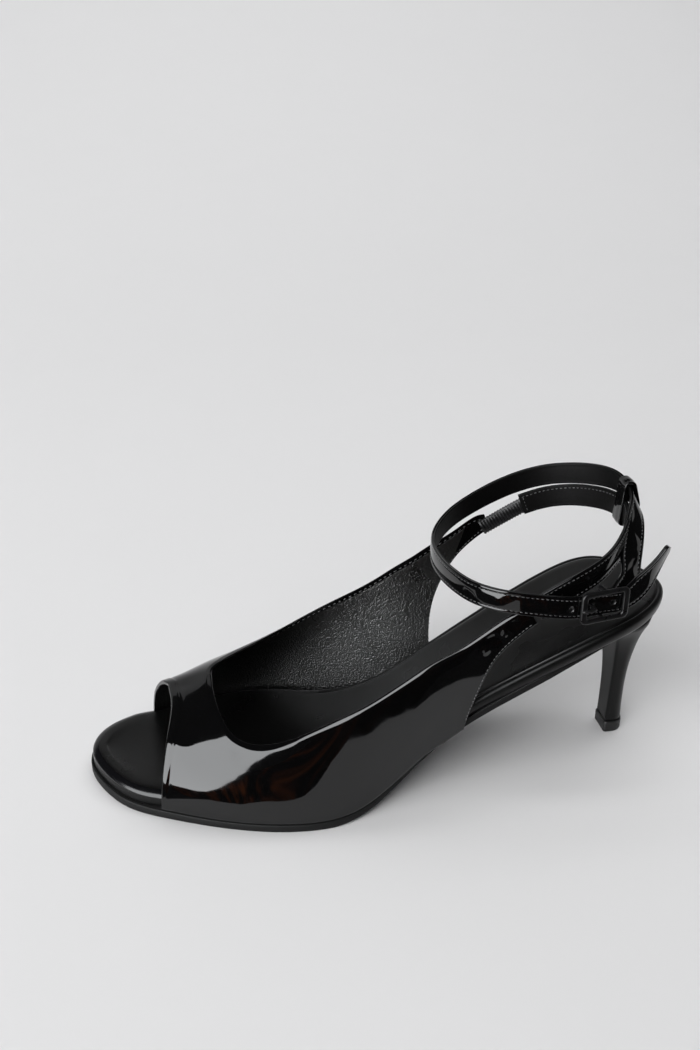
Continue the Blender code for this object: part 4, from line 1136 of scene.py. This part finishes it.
def boardFinish():
    # Lacquered upright boards with painted light: a faint brown glow in streaks along the grain, brighter
    # towards -X, seen only in reflections
    wood, tree, shader = newFinish("dark_boards", "#050302", 0.7, spec=0.0)
    where = (addNode(tree, "ShaderNodeTexCoord"), "Object")
    standing = addNode(tree, "ShaderNodeMapping", None, {"Vector": where, "Scale": (3, 1, 0.35)})
    streak = addNode(tree, "ShaderNodeTexNoise", None,
                     {"Vector": (standing, "Vector"), "Scale": 1.6, "Detail": 5.0, "Roughness": 0.65})
    peaks = addNode(tree, "ShaderNodeMapRange", None,
                    {"Value": (streak, "Fac"), "From Min": 0.51, "From Max": 0.74})
    apart = addNode(tree, "ShaderNodeSeparateXYZ", None, {"Vector": where})
    # painted light: the glow falls off from -X towards +X, as if the window lit that side
    glowFalloff = addNode(tree, "ShaderNodeMapRange", None,
                  {"Value": (apart, "X"), "From Min": 0.3, "From Max": -0.7, "To Min": 0.12})
    brown = addNode(tree, "ShaderNodeMath", {"operation": "MULTIPLY"},
                    {0: (peaks, "Result"), 1: (glowFalloff, "Result")})
    shadeBy(tree, shader, (brown, "Value"), ("#060403", "#b0602f"), socket="Emission Color")
    shader.inputs["Emission Strength"].default_value = studio["boardGlow"]
    return wood


def facing(place, aim):  # what stands at a place and looks at its aim along -Z
    back = (Vector(place) - Vector(aim)).normalized()
    return Matrix.Translation(place) @ back.to_track_quat("Z", "Y").to_matrix().to_4x4()


def areaLight(name, place, aim, size, power):  # lights the paper and the shoe, but is not mirrored
    light = bpy.data.lights.new(name, "AREA")
    light.shape, light.size, light.size_y, light.energy = "RECTANGLE", size[0], size[1], power
    lamp = bpy.data.objects.new(name, light)
    scene.collection.objects.link(lamp)
    lamp.matrix_world = facing(place, aim)
    lamp.visible_glossy = lamp.visible_camera = False


def fromAngles(azimuth, elevation):
    a, e = np.radians(azimuth), np.radians(elevation)
    return np.array((np.sin(a) * np.cos(e), -np.cos(a) * np.cos(e), np.sin(e)))


def makeStudio():
    near, half, bend, radius = studio["seenFrom"], studio["half"], studio["bend"], studio["radius"]
    paper, faded = paperFinishes()
    profile = [(y, 0.0) for y in np.linspace(near, bend, 12)]
    profile += [(bend + radius * np.sin(a), radius * (1 - np.cos(a)))
                for a in np.linspace(0, np.pi / 2, 24)[1:]]
    profile.append((bend + radius, studio["wall"]))
    strip = [(2 * k, 2 * k + 1, 2 * k + 3, 2 * k + 2) for k in range(len(profile) - 1)]
    sweep = stagePiece("floor_sweep", [(x, y, z) for y, z in profile for x in (-half, half)], strip, paper,
                       camera=True, diffuse=True)
    sweep.shade_smooth()

    # in front of that the paper only gives its light back; what is seen there fades to the backdrop's grey
    one = [(0, 1, 2, 3)]
    low, front, far = -0.001, studio["front"], studio["farPaper"]
    under = [(-half, front, low), (half, front, low), (half, near, low), (-half, near, low)]
    stagePiece("paper_front", under, one, paper, diffuse=True)
    stagePiece("paper_fade", [(-far, -far, 0), (far, -far, 0), (far, near, 0), (-far, near, 0)], one, faded,
               camera=True)

    # the gloss sees a table that ends near the shoe, a wall, a bright pane, a white card, and dark wood
    # beside and below it; the card's and the wood's light is painted glow
    edge = studio["table"]
    left, rear, wall = edge[0][0], studio["tableRear"], studio["seenWall"]
    overHalf, overHigh = studio["overWall"]
    rows = [(left, half, 0.0, 0.0), (left, half, rear, 0.0)]
    rows += [(-half, half, y, z) for y, z in profile if y > rear and z < wall]
    rows += [(-overHalf, overHalf, y, z) for y, z in profile if 0 < z - wall < overHigh]
    spots = [(x, y, 0.0) for x, y in edge] + [(half, edge[-1][1], 0.0), (half, 0.0, 0.0), (left, 0.0, 0.0)]
    first = len(spots)
    spots += [(x, y, z) for a, b, y, z in rows for x in (a, b)]
    faces = [tuple(range(first))]
    faces += [tuple(first + 2 * k + i for i in (0, 1, 3, 2)) for k in range(len(rows) - 1)]
    stagePiece("table_top", [(x, y - 0.0005, z + 0.0005) for x, y, z in spots], faces, paper, glossy=True)

    azimuth, elevation, distance = studio["keyFrom"]
    aim = np.array(studio["keyAim"])
    place = aim + distance * fromAngles(azimuth, elevation)
    turned = facing(place, aim)
    wide, high = studio["keySize"]
    pane = [turned @ Vector((x * wide / 2, y * high / 2, 0)) for x, y in studio["pane"]]
    # Daylight through white voile, and a white card whose light is painted: it glows by itself, seen only in
    # reflections
    voile = glowFinish("window_voile", "#fbfdff", studio["paneGlow"])
    cardPaintedGlow = glowFinish("white_card_painted_glow", "#ffffff", studio["cardGlow"])
    stagePiece("window_pane", pane, [tuple(range(len(pane)))], voile, glossy=True)
    stagePiece("side_card", studio["card"], one, cardPaintedGlow, glossy=True)
    stagePiece("dark_boards", studio["boards"], one, boardFinish(), glossy=True)

    areaLight("window_light", place, aim, studio["keySize"], studio["keyPower"])
    areaLight("top_fill", *studio["topFill"])
    areaLight("wall_light", *studio["wallLight"])

    world = bpy.data.worlds.new("studio")
    scene.world = world
    world.use_nodes = True
    tree = world.node_tree
    tree.nodes.clear()
    path = addNode(tree, "ShaderNodeLightPath")
    shown = addNode(tree, "ShaderNodeBackground", None, {"Color": colour(studio["floor"]), "Strength": 1.0})
    dark = addNode(tree, "ShaderNodeBackground", None,
                   {"Color": colour("#ffffff"), "Strength": studio["ambient"]})
    both = addNode(tree, "ShaderNodeMixShader", None,
                   {0: (path, "Is Camera Ray"), 1: (dark, "Background"), 2: (shown, "Background")})
    addNode(tree, "ShaderNodeOutputWorld", None, {"Surface": (both, "Shader")})


# Camera at the photograph's place
view = {"place": (-0.07377, -0.35652, 0.28435), "turn": -9.94, "down": 26.64, "lens": 38.39, "sensor": 36.0}


def makeCamera():
    back = Vector(fromAngles(view["turn"], view["down"]))
    right = Vector((0, 0, 1)).cross(back).normalized()
    up = back.cross(right)
    data = bpy.data.cameras.new("camera")
    data.lens, data.sensor_width, data.sensor_fit = view["lens"], view["sensor"], "AUTO"
    data.clip_start = 0.01
    camera = bpy.data.objects.new("camera", data)
    scene.collection.objects.link(camera)
    camera.matrix_world = Matrix.Translation(view["place"]) @ Matrix((right, up, back)).transposed().to_4x4()
    scene.camera = camera


makeStudio()
makeCamera()
print("studio made")

bpy.context.view_layer.update()
